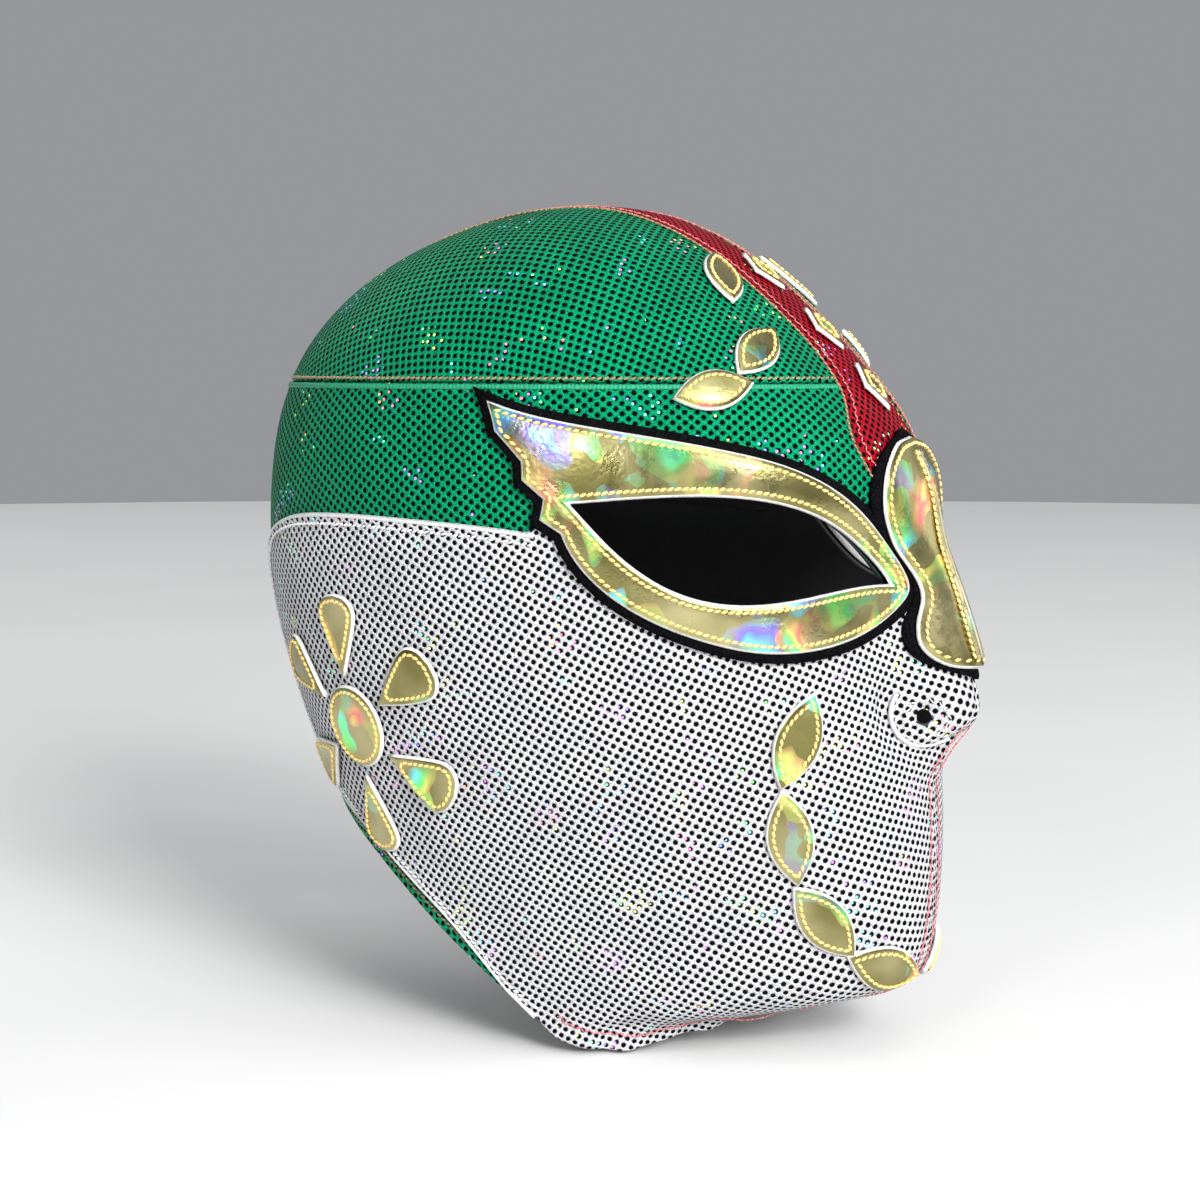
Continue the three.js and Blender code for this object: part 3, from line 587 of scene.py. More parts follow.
# each one's kind, darker tone and lighter tone
fibreTones = {
    "goldThread": ("thread", (0.58, 0.38, 0.1, 1), (0.95, 0.72, 0.26, 1)),
    "copperThread": ("thread", (0.15, 0.08, 0.04, 1), (0.44, 0.27, 0.13, 1)),
    "pinkThread": ("thread", (0.45, 0.06, 0.08, 1), (0.75, 0.22, 0.22, 1)),
    "whiteThread": ("thread", (0.5, 0.5, 0.52, 1), (0.85, 0.85, 0.86, 1)),
    "greenTape": ("tape", (0.0, 0.17, 0.08, 1), (0.03, 0.4, 0.2, 1)),
    "whiteTape": ("tape", (0.5, 0.5, 0.52, 1), (0.84, 0.83, 0.85, 1)),
    "whiteEdge": ("foam", (0.6, 0.58, 0.54, 1), (0.85, 0.84, 0.8, 1)),
    "blackFelt": ("felt", (0.002, 0.002, 0.0025, 1), (0.011, 0.011, 0.012, 1)),
    "darkLining": ("lining", (0.04, 0.04, 0.044, 1), (0.075, 0.075, 0.08, 1)),
    "paleFloor": ("floor", (0.76, 0.76, 0.75, 1), (0.8, 0.8, 0.79, 1)),
}
looks = {name: fibreMaterial(name, *tones) for name, tones in fibreTones.items()}
print("materials made")

# Hood panels
panelCut = {
    "crownSeamDown": 0.212 * head["height"],
    "stripHalf": 0.013,
    "faceRear": math.radians(152),
    "faceFoot": math.radians(80),
    "hemBand": 0.009,
    "seamHalf": 0.0002,
    "cell": 0.003,
    "overlap": 0.0012,
    "faceLift": 0.0008,
    "radius": head["breadth"] / 2,
    "rearRadius": 0.07,
}
seamDown, hemBand, seamHalf = (panelCut[key] for key in ("crownSeamDown", "hemBand", "seamHalf"))
faceRear, faceFoot = panelCut["faceRear"], panelCut["faceFoot"]
# around (share of faceRear), down (share of the height)
faceTop = [
    (0, 0.455),
    (0.2, 0.44),
    (0.4, 0.41),
    (0.52, 0.386),
    (0.64, 0.375),
    (0.78, 0.372),
    (0.88, 0.383),
    (0.96, 0.415),
    (1, 0.47),
]
# around (share of a half turn), down (share of the height)
hemRows = [
    (0, 0.97),
    (0.14, 0.979),
    (0.25, 0.996),
    (0.32, 1),
    (0.44, 0.975),
    (0.58, 0.88),
    (0.72, 0.78),
    (0.86, 0.72),
    (1, 0.7),
]
# down (share of the height), half width (share of stripHalf)
stripRows = [(0, 1), (0.17, 1), (0.22, 1.2), (0.27, 1.7), (0.31, 1.6), (0.38, 0.9), (0.455, 0.65)]

eye = {
    "inner": 0.1 * head["breadth"],
    "long": 0.61 * head["breadth"],
    "down": 0.447 * head["height"],
    "tilt": math.radians(14.5),
    "rise": 0.014,
    "drop": 0.0165,
    "riseSkew": 0.75,
    "dropSkew": 1.3,
}


def hemDown(around):
    return head["height"] * follow(hemRows, 1, np.abs(around) / math.pi)


def faceTopDown(around):
    return head["height"] * follow(faceTop, 1, around / panelCut["faceRear"])


def stripHalfAt(down):
    return panelCut["stripHalf"] * follow(stripRows, 1, down / head["height"])


def overEyeLine(x, y):
    turn = eye["tilt"]
    u = x * math.cos(turn) - y * math.sin(turn) + eye["inner"]
    v = x * math.sin(turn) + y * math.cos(turn) - eye["down"]
    return np.stack([u, v], axis=-1)


def eyeLid(share, upper):
    share = np.asarray(share, float)
    high, skew = (eye["rise"], eye["riseSkew"]) if upper else (-eye["drop"], eye["dropSkew"])
    return overEyeLine(share * eye["long"], high * np.sin(np.pi * share**skew))


def lidTable(upper):
    around, row = wrapped(eyeLid(np.linspace(0, 1, 60), upper))
    return around, downAt(row)


lidTables = {True: lidTable(True), False: lidTable(False)}
eyeInnerAround, eyeOuterAround = lidTables[True][0][[0, -1]]


def browDown(around, upper):
    # where the green cloth ends and the white begins; round the eye each keeps to its lid
    plain = faceTopDown(around)
    turns, downs = lidTables[upper]
    lid = np.interp(around, turns, downs)
    fade = math.radians(6)
    before = smoothRise(around, eyeInnerAround - fade, eyeInnerAround)
    after = 1 - smoothRise(around, eyeOuterAround, eyeOuterAround + fade)
    return between(plain, lid, before * after)


def underDown(around):
    # the lower edge of the face panel behind its foot, with the corner drawn up
    near = smoothRise(around, faceFoot, faceFoot + math.radians(30))
    corner = smoothRise(around, faceRear - math.radians(14), faceRear)
    return hemDown(around) - hemBand * (near + 2 * corner)


def stripTurn(down):
    return np.arcsin(np.minimum(stripHalfAt(down) / sideAt(rowAt(down)), 1))


seamRow, seamStart = rowAt(seamDown), float(stripTurn(seamDown))
browRow = rowAt(head["height"] * faceTop[0][1])


def standing(turns):
    # columns that keep their own turn all the way down
    return lambda rows: np.broadcast_to(turns[:, None], rows.shape)


def columnPlaces(turnAt, starts, ends, shares):
    # rows down each column, spaced by the cloth's own length, and the columns' lengths
    dense = np.linspace(0, 1, 200)
    rows = starts[:, None] + (ends - starts)[:, None] * dense
    turns = turnAt(rows)
    steps = np.linalg.norm(np.diff(hoodPoint(turns, rows), axis=1), axis=2)
    lengths = np.concatenate([np.zeros((len(starts), 1)), np.cumsum(steps, axis=1)], axis=1)
    placed = np.array([np.interp(shares * line[-1], line, row) for line, row in zip(lengths, rows)])
    return turnAt(placed), placed, lengths[:, -1:]


def sharesAlong(length, near=(0.0006, 0.0013, 0.0024, 0.004), cell=None, far=None):
    # places along a length: close together near the edges, then one cell apart
    cell = cell or panelCut["cell"]
    far = near if far is None else far
    first, last = (near[-1] if near else 0), (far[-1] if far else 0)
    middle = np.linspace(first, length - last, max(2, round((length - first - last) / cell)) + 1)
    places = [*([0, *near[:-1]] if near else []), *middle]
    places += [length - value for value in reversed([0, *far[:-1]])] if far else []
    return np.array(places) / length


def bump(distance, middle, wide):
    return np.exp(-(((distance - middle) / wide) ** 2))


def foldedEdge(distance, high=0.0003, groove=0.0003, stitchAt=0.0028):
    # an edge turned under and stitched down: a soft roll, then a groove along the stitches
    roll, rim = high * bump(distance, 0.0011, 0.0008), 0.0006 * bump(distance, 0, 0.0004)
    return roll - groove * bump(distance, stitchAt, 0.0006) - rim


def hemFold(distance):
    # the hem turned up inside: a rolled rim, a flat band and the groove of its stitches
    band = 0.0003 * (1 - smoothRise(distance, 0.0045, 0.006))
    roll, rim = 0.0004 * bump(distance, 0.001, 0.001), 0.0006 * bump(distance, 0, 0.0004)
    return roll + band - 0.0004 * bump(distance, 0.005, 0.0006) - rim


def hemPucker(around, distance):
    # the stretched cloth gathers a little along the hem below the cheek
    waves = np.sin(around * 17) + 0.7 * np.sin(around * 29 + 1)
    return 0.0006 * bump(distance, 0, 0.012) * waves * smoothRise(around, 0.1, 0.3)


def clothPanel(name, grids, material, node, side=1):
    mesh = bmesh.new()
    for around, row, lift in grids:
        flat = np.stack([around * 0.08, -row * 0.01], axis=-1)
        addGrid(mesh, onCloth(around, row, lift), flat, side)
    bmesh.ops.remove_doubles(mesh, verts=mesh.verts, dist=1e-5)
    flats = [face for face in mesh.faces if face.calc_area() < 1e-10]
    bmesh.ops.delete(mesh, geom=flats, context="FACES")
    piece = newPiece(name, mesh, [material, looks["darkLining"]], [node])
    layFlat(piece)
    return piece


def layFlat(piece):
    # the map is the panel spread flat in metres, upright, so that the net keeps its size
    for other in bpy.context.selected_objects:
        other.select_set(False)
    bpy.context.view_layer.objects.active = piece
    piece.select_set(True)
    bpy.ops.object.mode_set(mode="EDIT")
    bpy.ops.mesh.select_all(action="SELECT")
    bpy.ops.uv.unwrap(method="ANGLE_BASED", margin=0.0)
    bpy.ops.object.mode_set(mode="OBJECT")
    data = piece.data
    uv = data.uv_layers.active.data
    count = len(data.loops)
    flat = np.zeros(count * 2)
    uv.foreach_get("uv", flat)
    flat = flat.reshape(-1, 2)
    corners = np.array([vert.co for vert in data.vertices])
    realArea, flatArea, upright = 0.0, 0.0, np.zeros(2)
    for polygon in data.polygons:
        loops = list(polygon.loop_indices)
        ring = flat[loops]
        following = np.roll(ring, -1, axis=0)
        area = np.sum(ring[:, 0] * following[:, 1] - following[:, 0] * ring[:, 1]) / 2
        realArea += polygon.area
        flatArea += area
        heights = corners[[data.loops[loop].vertex_index for loop in loops], 2]
        steps, climbs = ring - ring.mean(axis=0), heights - heights.mean()
        upright += (steps * climbs[:, None]).sum(axis=0)
    scale = math.sqrt(realArea / abs(flatArea))
    turn = math.pi / 2 - math.atan2(upright[1], upright[0])
    turning = np.array([[math.cos(turn), math.sin(turn)], [-math.sin(turn), math.cos(turn)]])
    flat = (flat - flat.mean(axis=0)) @ turning * scale
    uv.foreach_set("uv", flat.ravel())
    width, length = np.ptp(flat, axis=0)
    piece["flatWidth"], piece["flatLength"], piece["flatArea"] = width, length, realArea
    print(piece.name, "flat", round(width, 4), round(length, 4), round(realArea, 5))


def stretchedSheet(piece):
    # works out a flat size from the map, and an area of at least the share of it that a sheet can
    # have; neither is kept
    flat = (piece["flatWidth"], piece["flatLength"])
    area = min(max(piece["flatArea"], 0.301 * flat[0] * flat[1]), flat[0] * flat[1])


def columnTurns(first, last, near=(), far=()):
    return between(first, last, sharesAlong(abs(last - first) * panelCut["radius"], near, far=far))


def stripPanel():
    # across from the wearer's right to their left, along from the brow over to the back
    across = np.linspace(-1, 1, 13)
    across = np.sign(across) * np.abs(across) ** 0.8
    along = np.linspace(-1, 1, 105)
    around = np.zeros((len(across), len(along)))
    row = np.zeros_like(around)
    trial = np.linspace(0, 4, 4001)
    for c, share in enumerate(across):
        half = abs(share) * (panelCut["stripHalf"] - seamHalf)
        topRow = np.interp(half, sideAt(trial), trial)
        for n, place in enumerate(along):
            front = place > 0
            end = browRow if front else seamRow
            row[c, n] = topRow + (end - topRow) * abs(place) ** (1.5 if front else 1.7)
            wide = abs(share) * (stripHalfAt(downAt(row[c, n])) - seamHalf)
            lean = math.asin(min(wide / max(sideAt(row[c, n]), 1e-9), 1))
            around[c, n] = math.copysign(lean if front else math.pi - lean, share)
    edge = (1 - np.abs(across))[:, None] * stripHalfAt(downAt(row))
    grid = (around, row, foldedEdge(edge, 0.0002, stitchAt=0.0022))
    return clothPanel("strip_cloth", [grid], redNet, "centre_strip")


def crownPanel(label, side):
    end = math.pi - math.asin(panelCut["stripHalf"] / sideAt(seamRow))
    turns = columnTurns(seamStart, end, (0.0015, 0.003), (0.0015, 0.003))
    trial = np.linspace(0.05, seamRow, 4000)
    halves = stripHalfAt(downAt(trial)) + seamHalf
    tops = np.array([trial[np.argmax(sideAt(trial) * math.sin(turn) >= halves)] for turn in turns])
    shares = sharesAlong(0.085)
    ends = np.full(len(turns), seamRow)
    around, row, length = columnPlaces(standing(turns), tops, ends, shares)
    nearest = np.minimum(shares[None, :] * length, (1 - shares[None, :]) * length)
    grid = (around, row, foldedEdge(nearest))
    return clothPanel("crown_cloth_" + label, [grid], greenNet, "crown_" + label, side)


def sidePanel(label, side):
    # the band under the crown's seam, then behind the face panel, then along its foot
    radius = panelCut["radius"]
    topRow = seamRow + 0.006
    columns = sharesAlong(faceRear * radius, (0.0008, 0.002), far=())

    def turnAt(rows):
        return between(stripTurn(downAt(rows)) + seamHalf / radius, faceRear, columns[:, None])

    ends = np.full(len(columns), rowAt(0.4 * head["height"]))
    for _ in range(8):
        ends = rowAt(browDown(turnAt(ends[:, None])[:, 0], True))
    bandShares = sharesAlong(0.045)
    around, row, length = columnPlaces(turnAt, np.full(len(columns), topRow), ends, bandShares)
    topAway, lowAway = bandShares[None, :] * length, (1 - bandShares[None, :]) * length
    lift = foldedEdge(np.minimum(topAway, columns[:, None] * faceRear * radius + 0.0002))
    lift = lift - 0.0006 * bump(lowAway, 0, 0.004) * (around > eyeOuterAround)
    grids = [(around, row, lift)]

    back = columnTurns(faceRear, math.pi - seamHalf / radius, far=(0.0008, 0.002))
    away = (back - faceRear) / (math.pi - faceRear)
    stops = [
        between(head["height"] * faceTop[-1][1], 0.42 * head["height"], away),
        between(hemDown(faceRear) - 3 * hemBand, 0.6 * head["height"], away),
        hemDown(back),
    ]
    backRows = [np.full(len(back), topRow), *(rowAt(stop) for stop in stops)]
    footShares = sharesAlong(0.0275, (), 0.0027, (0.0006, 0.0013, 0.0024))
    for n, shares in enumerate((bandShares, sharesAlong(0.045, (), far=()), footShares)):
        around, row, length = columnPlaces(standing(back), backRows[n], backRows[n + 1], shares)
        lift = foldedEdge((math.pi - around) * radius + 0.0004, 0.0002, 0.0002, 0.0026)
        if n == 0:
            lift += foldedEdge(shares[None, :] * length)
        if n == 2:
            lift += hemFold((1 - shares[None, :]) * length)
        grids.append((around, row, lift))

    foot = columnTurns(faceFoot + 0.02, faceRear)
    tops, ends = rowAt(underDown(foot)), rowAt(hemDown(foot))
    around, row, length = columnPlaces(standing(foot), tops, ends, footShares)
    grids.append((around, row, hemFold((1 - footShares[None, :]) * length)))
    return clothPanel("side_cloth_" + label, grids, greenNet, "side_" + label, side)


faceDetail = {
    "nostrilAcross": 0.077 * head["breadth"],
    "nostrilDown": 0.597 * head["height"],
    "nostrilRadius": 0.0026,
    "nostrilRing": 0.0046,
    "wingRadius": 0.0112,
    "wingProud": 0.0024,
    "creaseDeep": 0.0032,
    "foldRadius": 0.0096,
}


def noseWing(points):
    # how far the side of the nose stands out round the nostril, with a crease behind and below
    down = head["clothWall"] - points[..., 2]
    x = points[..., 0] - faceDetail["nostrilAcross"] * 0.75
    z = down - faceDetail["nostrilDown"] + 0.002
    near = np.sqrt(x**2 + (z * 0.95) ** 2)
    wing = faceDetail["wingProud"] * (1 - smoothRise(near, 0.006, faceDetail["wingRadius"]))
    behind = smoothRise(np.cos(np.arctan2(z, x) - 0.9), -0.35, 0.5)
    crease = faceDetail["creaseDeep"] * bump(near, faceDetail["wingRadius"], 0.0021) * behind
    return (wing - crease) * (points[..., 1] < 0)


def facePanel(label, side):
    overlap, middle = panelCut["overlap"], seamHalf / panelCut["radius"]
    rear = faceRear + overlap / panelCut["rearRadius"]
    turns = columnTurns(middle, rear, (0.0008, 0.0018), (0.0008, 0.0016, 0.0028, 0.0045))
    outside = (turns < eyeInnerAround) | (turns > eyeOuterAround)
    inFace = np.minimum(turns, faceRear)
    top = browDown(inFace, False) - overlap * outside
    behind = smoothRise(turns, faceFoot, faceFoot + math.radians(8))
    low = np.minimum(underDown(inFace) + overlap * behind, hemDown(turns))
    shares = sharesAlong(0.125)
    around, row, length = columnPlaces(standing(turns), rowAt(top), rowAt(low), shares)
    topAway, lowAway = shares[None, :] * length, (1 - shares[None, :]) * length
    rearAway = (rear - around) * panelCut["rearRadius"]
    onHem = 1 - behind[:, None] * np.ones_like(around)
    seamAway = np.minimum(topAway + 0.01 * (around < eyeOuterAround), rearAway)
    seamAway = np.minimum(seamAway, lowAway + 0.05 * onHem)
    lift = panelCut["faceLift"] * bump(seamAway, 0, 0.011)
    lift += foldedEdge(seamAway, 0.0003, 0.0004, 0.0027)
    lift += (hemFold(lowAway) + hemPucker(around, lowAway)) * onHem
    lift += foldedEdge((around - middle) * panelCut["radius"] + 0.0004, 0.0002, 0.0003, 0.0024)
    lift += noseWing(hoodPoint(around, row))
    name, grid = "face_cloth_" + label, (around, row, lift)
    piece = clothPanel(name, [grid], whiteNet, "face_" + label, side)
    openNostril(piece, side)
    return piece


def openNostril(piece, side):
    # the nearest corner is taken out and the ring left round it is drawn into a circle
    place = wrapped(np.array([faceDetail["nostrilAcross"], -faceDetail["nostrilDown"]]))
    x, y, z = hoodPoint(*place)
    middle = Vector((side * x, y, z))
    mesh = bmesh.new()
    mesh.from_mesh(piece.data)
    nearest = min(mesh.verts, key=lambda vert: (vert.co - middle).length)
    ring = {vert for face in nearest.link_faces for vert in face.verts} - {nearest}
    shift = middle - nearest.co
    for vert in mesh.verts:
        away = (vert.co - nearest.co).length
        vert.co += shift * math.exp(-((away / 0.006) ** 2))
    for vert in ring:
        spoke = vert.co - nearest.co
        vert.co = nearest.co + spoke.normalized() * faceDetail["nostrilRadius"]
    bmesh.ops.delete(mesh, geom=[nearest], context="VERTS")
    mesh.to_mesh(piece.data)
    mesh.free()
    layFlat(piece)


sides = {"left": 1, "right": -1}
panels = [stripPanel()]
for label, side in sides.items():
    panels += [make(label, side) for make in (crownPanel, sidePanel, facePanel)]
for panel in panels:
    thicken(panel, head["clothWall"], 1, 1)
    stretchedSheet(panel)
print("hood panels made:", len(panels))


# Sewn-on layers: flat outlines in metres, laid on the cloth at a height above it
layers = {
    "feltTop": 0.0018,
    "feltWall": 0.0019,
    "feltMargin": 0.0032,
    "trimTop": 0.0034,
    "trimWall": 0.0016,
    "leafTop": 0.0018,
    "leafWall": 0.0014,
    "whiteRim": 0.0006,
    "rimDrop": 0.0007,
    "puff": 0.0003,
    "stitchInset": 0.0014,
}
goldStitch = {"pitch": 0.0019, "long": 0.0023, "wide": 0.001, "high": 0.0009, "skew": 0.3}
seamStitch = {"pitch": 0.0018, "long": 0.0021, "wide": 0.0007, "high": 0.0007, "skew": 0.35}
zigzagStitch = {"pitch": 0.0014, "long": 0.0019, "wide": 0.00042, "high": 0.0005, "skew": 0.6}


def bothEdges(x, half):
    # the two edges of a shape on its own axis, from the upper one
    edge = np.stack([x, half], axis=-1)
    return edge * np.array([1, -1]), edge


def leafShape(long, wide, steps=18):
    t = np.linspace(0, 1, steps + 1)
    return bothEdges((t - 0.5) * long, 2 * t * (1 - t) * wide)


def lozengeShape(long, wide, steps=8):
    t = np.linspace(-1, 1, 2 * steps + 1)
    return bothEdges(t * wide / 2, (1 - np.abs(t)) * long / 2)


def discShape(radius, steps=20):
    t = np.linspace(math.pi, 0, steps + 1)
    return bothEdges(radius * np.cos(t), radius * np.sin(t))


def petalShape(long, wide, start, steps=20):
    # along (share of long), half width (share of wide)
    shares = [(0, 0), (0.45, 0.34), (0.78, 0.5), (0.95, 0.32), (1, 0)]
    t = np.linspace(0, len(shares) - 1, steps + 1)
    half = np.maximum(follow(shares, 1, t, None), 0)
    half[[0, -1]] = 0
    return bothEdges(start + follow(shares, 0, t, None) * long, half * wide)


def grown(ring, by):
    # a closed outline pushed outwards; it runs anticlockwise
    before, after = np.roll(ring, 1, axis=0), np.roll(ring, -1, axis=0)

    def outward(a, b):
        away = np.stack([b[:, 1] - a[:, 1], a[:, 0] - b[:, 0]], axis=-1)
        return away / np.maximum(np.linalg.norm(away, axis=1, keepdims=True), 1e-9)

    first, second = outward(before, ring), outward(ring, after)
    mitre = first + second
    mitre /= np.maximum(np.linalg.norm(mitre, axis=1, keepdims=True), 1e-9)
    return ring + mitre * by / np.maximum((mitre * first).sum(axis=1, keepdims=True), 0.6)


def drawnIn(ring, by):
    # the ring moved inwards, without the points that come too near its other side
    moved = grown(ring, -by)
    dense = np.concatenate([between(ring, np.roll(ring, -1, axis=0), k / 4) for k in range(4)])
    gaps = np.linalg.norm(moved[:, None] - dense[None], axis=2).min(axis=1)
    return moved[gaps > 0.9 * abs(by)]


def ringOf(shape):
    low, high = shape
    return np.concatenate([low, high[-2:0:-1]])


def rimOf(shape):
    # the two edges of the white rim that stands out round the shape
    ring, count = grown(ringOf(shape), layers["whiteRim"]), len(shape[0])
    return ring[:count], np.concatenate([ring[:1], ring[count:][::-1], ring[count - 1 : count]])


def foilPiece(name, node, shape, rim, lay, kind, side, closed=False):
    # rows from one edge to the other, puffed up between them, with the white rim beyond each
    rows = [between(*shape, share) for share in (0, 0.12, 0.3, 0.5, 0.7, 0.88, 1)]
    rows = np.stack([rim[0], *rows, rim[1]], axis=1)
    if closed:
        rows = np.concatenate([rows, rows[:1]])
    puff = np.array([0, 0.55, 0.9, 1, 0.9, 0.55, 0]) * layers["puff"]
    line = np.array([-layers["rimDrop"], *puff, -layers["rimDrop"]])
    heights = layers[kind + "Top"] + np.broadcast_to(line, rows.shape[:2])
    mesh = bmesh.new()
    points, last = onCloth(*lay(rows), heights), len(line) - 2
    addGrid(mesh, points, rows, side, lambda column, row: int(row in (0, last)))
    bmesh.ops.remove_doubles(mesh, verts=mesh.verts, dist=2e-6)
    bmesh.ops.dissolve_degenerate(mesh, edges=mesh.edges, dist=2e-6)
    piece = newPiece(name, mesh, [giltFoil, looks["whiteEdge"]], [node])
    thicken(piece, layers[kind + "Wall"], 1)


def clothPath(here, ahead, height, side):
    # places, directions and normals of stitches, from where on the cloth each is and looks
    height = height + np.zeros(np.shape(here[1]))
    places, flip = onCloth(*here, height), np.array([side, 1, 1])
    return places * flip, (onCloth(*ahead, height) - places) * flip, hoodNormal(*here) * flip


def spacedAlong(points, values, pitch):
    # the values at places one pitch apart along the points, and a little ahead of each
    steps = np.linalg.norm(np.diff(points, axis=0), axis=1)
    along = np.concatenate([[0], np.cumsum(steps)])
    count = max(2, round(along[-1] / pitch))
    at = (np.arange(count) + 0.5) * along[-1] / count
    return [[np.interp(place, along, value) for value in values] for place in (at, at + 0.0004)]


def stitchPath(ring, lay, height, side=1):
    points = np.concatenate([ring, ring[:1]])
    places = spacedAlong(points, points.T, goldStitch["pitch"])
    return clothPath(*(lay(np.stack(place, axis=-1)) for place in places), height, side)


def seamPath(around, row, size, height, side):
    here, ahead = spacedAlong(hoodPoint(around, row), (around, row), size["pitch"])
    return clothPath(here, ahead, height(here[0]) if callable(height) else height, side)


def beadShape():
    # one low round bead; every stitch is a copy of it
    mesh = bmesh.new()
    bmesh.ops.create_uvsphere(mesh, u_segments=6, v_segments=4, radius=0.5)
    places = np.array([vert.co for vert in mesh.verts])
    faces = [[vert.index for vert in face.verts] for face in mesh.faces]
    mesh.free()
    return places, faces


beadPlaces, beadFaces = beadShape()


def stitchPiece(name, paths, thread="goldThread", size=goldStitch, seed=1):
    draw = np.random.default_rng(seed)
    places, directions, normals = (np.concatenate(parts) for parts in zip(*paths))
    forward = directions / np.linalg.norm(directions, axis=1, keepdims=True)
    sideways = np.cross(normals, forward)
    skew = np.full(len(places), size["skew"])
    if size is zigzagStitch:
        skew[::2] *= -1
    skew = (skew + draw.uniform(-0.08, 0.08, len(places)))[:, None]
    forward = forward * np.cos(skew) + sideways * np.sin(skew)
    turned = np.stack([forward, np.cross(normals, forward), normals], axis=1)
    shaped = beadPlaces * np.array([size["long"], size["wide"], size["high"]])
    corners = places[:, None] + np.einsum("vk,nkx->nvx", shaped, turned)
    count = len(beadPlaces)
    faces = [[n * count + vert for vert in face] for n in range(len(places)) for face in beadFaces]
    data = bpy.data.meshes.new(name + "_beads")
    data.from_pydata(corners.reshape(-1, 3).tolist(), [], faces)
    mesh = bmesh.new()
    mesh.from_mesh(data)
    bpy.data.meshes.remove(data)
    newPiece(name, mesh, [looks[thread]])


print("making the trim")

# Eye surrounds and their felt
surround = {"band": 0.0095, "tailOut": 0.017, "tailUp": 0.022, "fine": 4}
# the stepped tail: out (share of tailOut), up (share of tailUp)
tailCorners = [
    (-0.06, -0.36),
    (0.3, -0.27),
    (0.3, -0.02),
    (0.65, 0.14),
    (0.65, 0.36),
    (1, 0.66),
    (1, 1),
]


def bezier(points, count):
    t = np.linspace(0, 1, count + 1)[:-1, None]
    a, b, c, d = (np.array(point) for point in points)
    return a * (1 - t) ** 3 + 3 * b * t * (1 - t) ** 2 + 3 * c * t**2 * (1 - t) + d * t**3


def surroundShape(extra=0.0):
    # the outer edge follows brow, stepped tail and cheek, the inner one the lids
    long, rise, drop = eye["long"], eye["rise"], eye["drop"]
    band, fine, tailOut = surround["band"], surround["fine"], surround["tailOut"]
    end, floor, roof = -0.45 * band, -drop - band, rise + band
    corners = [(long + x * tailOut, y * surround["tailUp"]) for x, y in tailCorners]
    heel, tip = corners[0], corners[-1]
    count = 6 * fine
    lines = [
        [(end, 0), (end, -0.8 * band), (0.2 * long, floor), (0.48 * long, floor)],
        [(0.48 * long, floor), (0.7 * long, floor), (0.9 * long, 0.8 * floor), heel],
        [tip, (long + 0.2 * tailOut, 0.8 * roof), (0.8 * long, roof), (0.5 * long, roof)],
        [(0.5 * long, roof), (0.2 * long, roof), (end, 0.8 * band), (end, 0)],
    ]
    low, rearLow, brow, front = (bezier(line, count) for line in lines)
    outer = grown(np.concatenate([low, rearLow, corners[:-1], brow, front]), extra)
    heelPlace = 2 * count
    tailEnd = heelPlace + len(corners) - 1
    steps = []
    for first, second in zip(outer[heelPlace:tailEnd], outer[heelPlace + 1 : tailEnd + 1]):
        steps += [between(first, second, k / fine) for k in range(fine)]
    outer = np.concatenate([outer[:heelPlace], steps, outer[tailEnd:]])
    # the inner edge goes along the lower lid, round the outer corner, and back along the upper
    lidEnd, tipPlace = 0.985, heelPlace + len(steps)
    turns = [0, heelPlace, tipPlace, len(outer)]
    share = np.interp(np.arange(len(outer)), turns, [0, lidEnd, 2 - lidEnd, 2])
    lower, upper = eyeLid(np.minimum(share, 1), False), eyeLid(2 - np.maximum(share, 1), True)
    inner = np.where((share < 1)[:, None], lower, upper)
    return overEyeLine(outer[:, 0], outer[:, 1]), inner


# Nose guard: down (share of the tip's depth), half width (share), felt margin (share)
guardRows = [
    (0.505, 0, 1),
    (0.52, 0.5, 1),
    (0.57, 0.9, 1),
    (0.63, 1, 1),
    (0.7, 0.8, 0.75),
    (0.77, 0.5, 0.45),
    (0.82, 0.42, 0.5),
    (0.88, 0.53, 1),
    (0.925, 0.53, 1),
    (0.96, 0.33, 1),
    (0.97, 0, 1),
]
guard = {"half": 0.12 * head["breadth"], "steps": 54, "ridge": 0.0008, "ridgeStitch": 0.0016}


def guardEdge(felt):
    points = []
    for n, (down, half, margin) in enumerate(guardRows):
        show = margin * layers["feltMargin"] if felt else 0
        beyond = show if n == 0 else -show if n == len(guardRows) - 1 else 0
        wide = half * guard["half"] + (0 if beyond else show)
        points.append((wide, beyond - down * nose["tipDown"]))
    t = np.linspace(0, len(points) - 1, guard["steps"] + 1)
    wide = np.maximum(follow(points, 0, t, None), 0)
    return np.stack([wide, follow(points, 1, t, None)], axis=-1)


def guardShape(felt):
    edge = guardEdge(felt)
    if not felt:
        edge[[0, -1], 0] = 0
    return edge * np.array([-1, 1]), edge


def feltSheet(name, shape, shares, node, side=1, closed=False):
    rows = np.stack([between(*shape, share) for share in shares], axis=1)
    if closed:
        rows = np.concatenate([rows, rows[:1]])
    mesh = bmesh.new()
    around, row = wrapped(rows)
    addGrid(mesh, onCloth(around, row, np.full(row.shape, layers["feltTop"])), rows, side)
    bmesh.ops.remove_doubles(mesh, verts=mesh.verts, dist=1e-5)
    area = sum(face.calc_area() for face in mesh.faces)
    piece = newPiece(name, mesh, [looks["blackFelt"]], [node])
    thicken(piece, layers["feltWall"])


def appliqued(name, node, shape, lay, side=1, kind="leaf"):
    # one padded foil piece; what comes back is the line of its stitches
    foilPiece(name, node, shape, rimOf(shape), lay, kind, side)
    height = layers[kind + "Top"] + layers["puff"]
    return stitchPath(drawnIn(ringOf(shape), layers["stitchInset"]), lay, height, side)


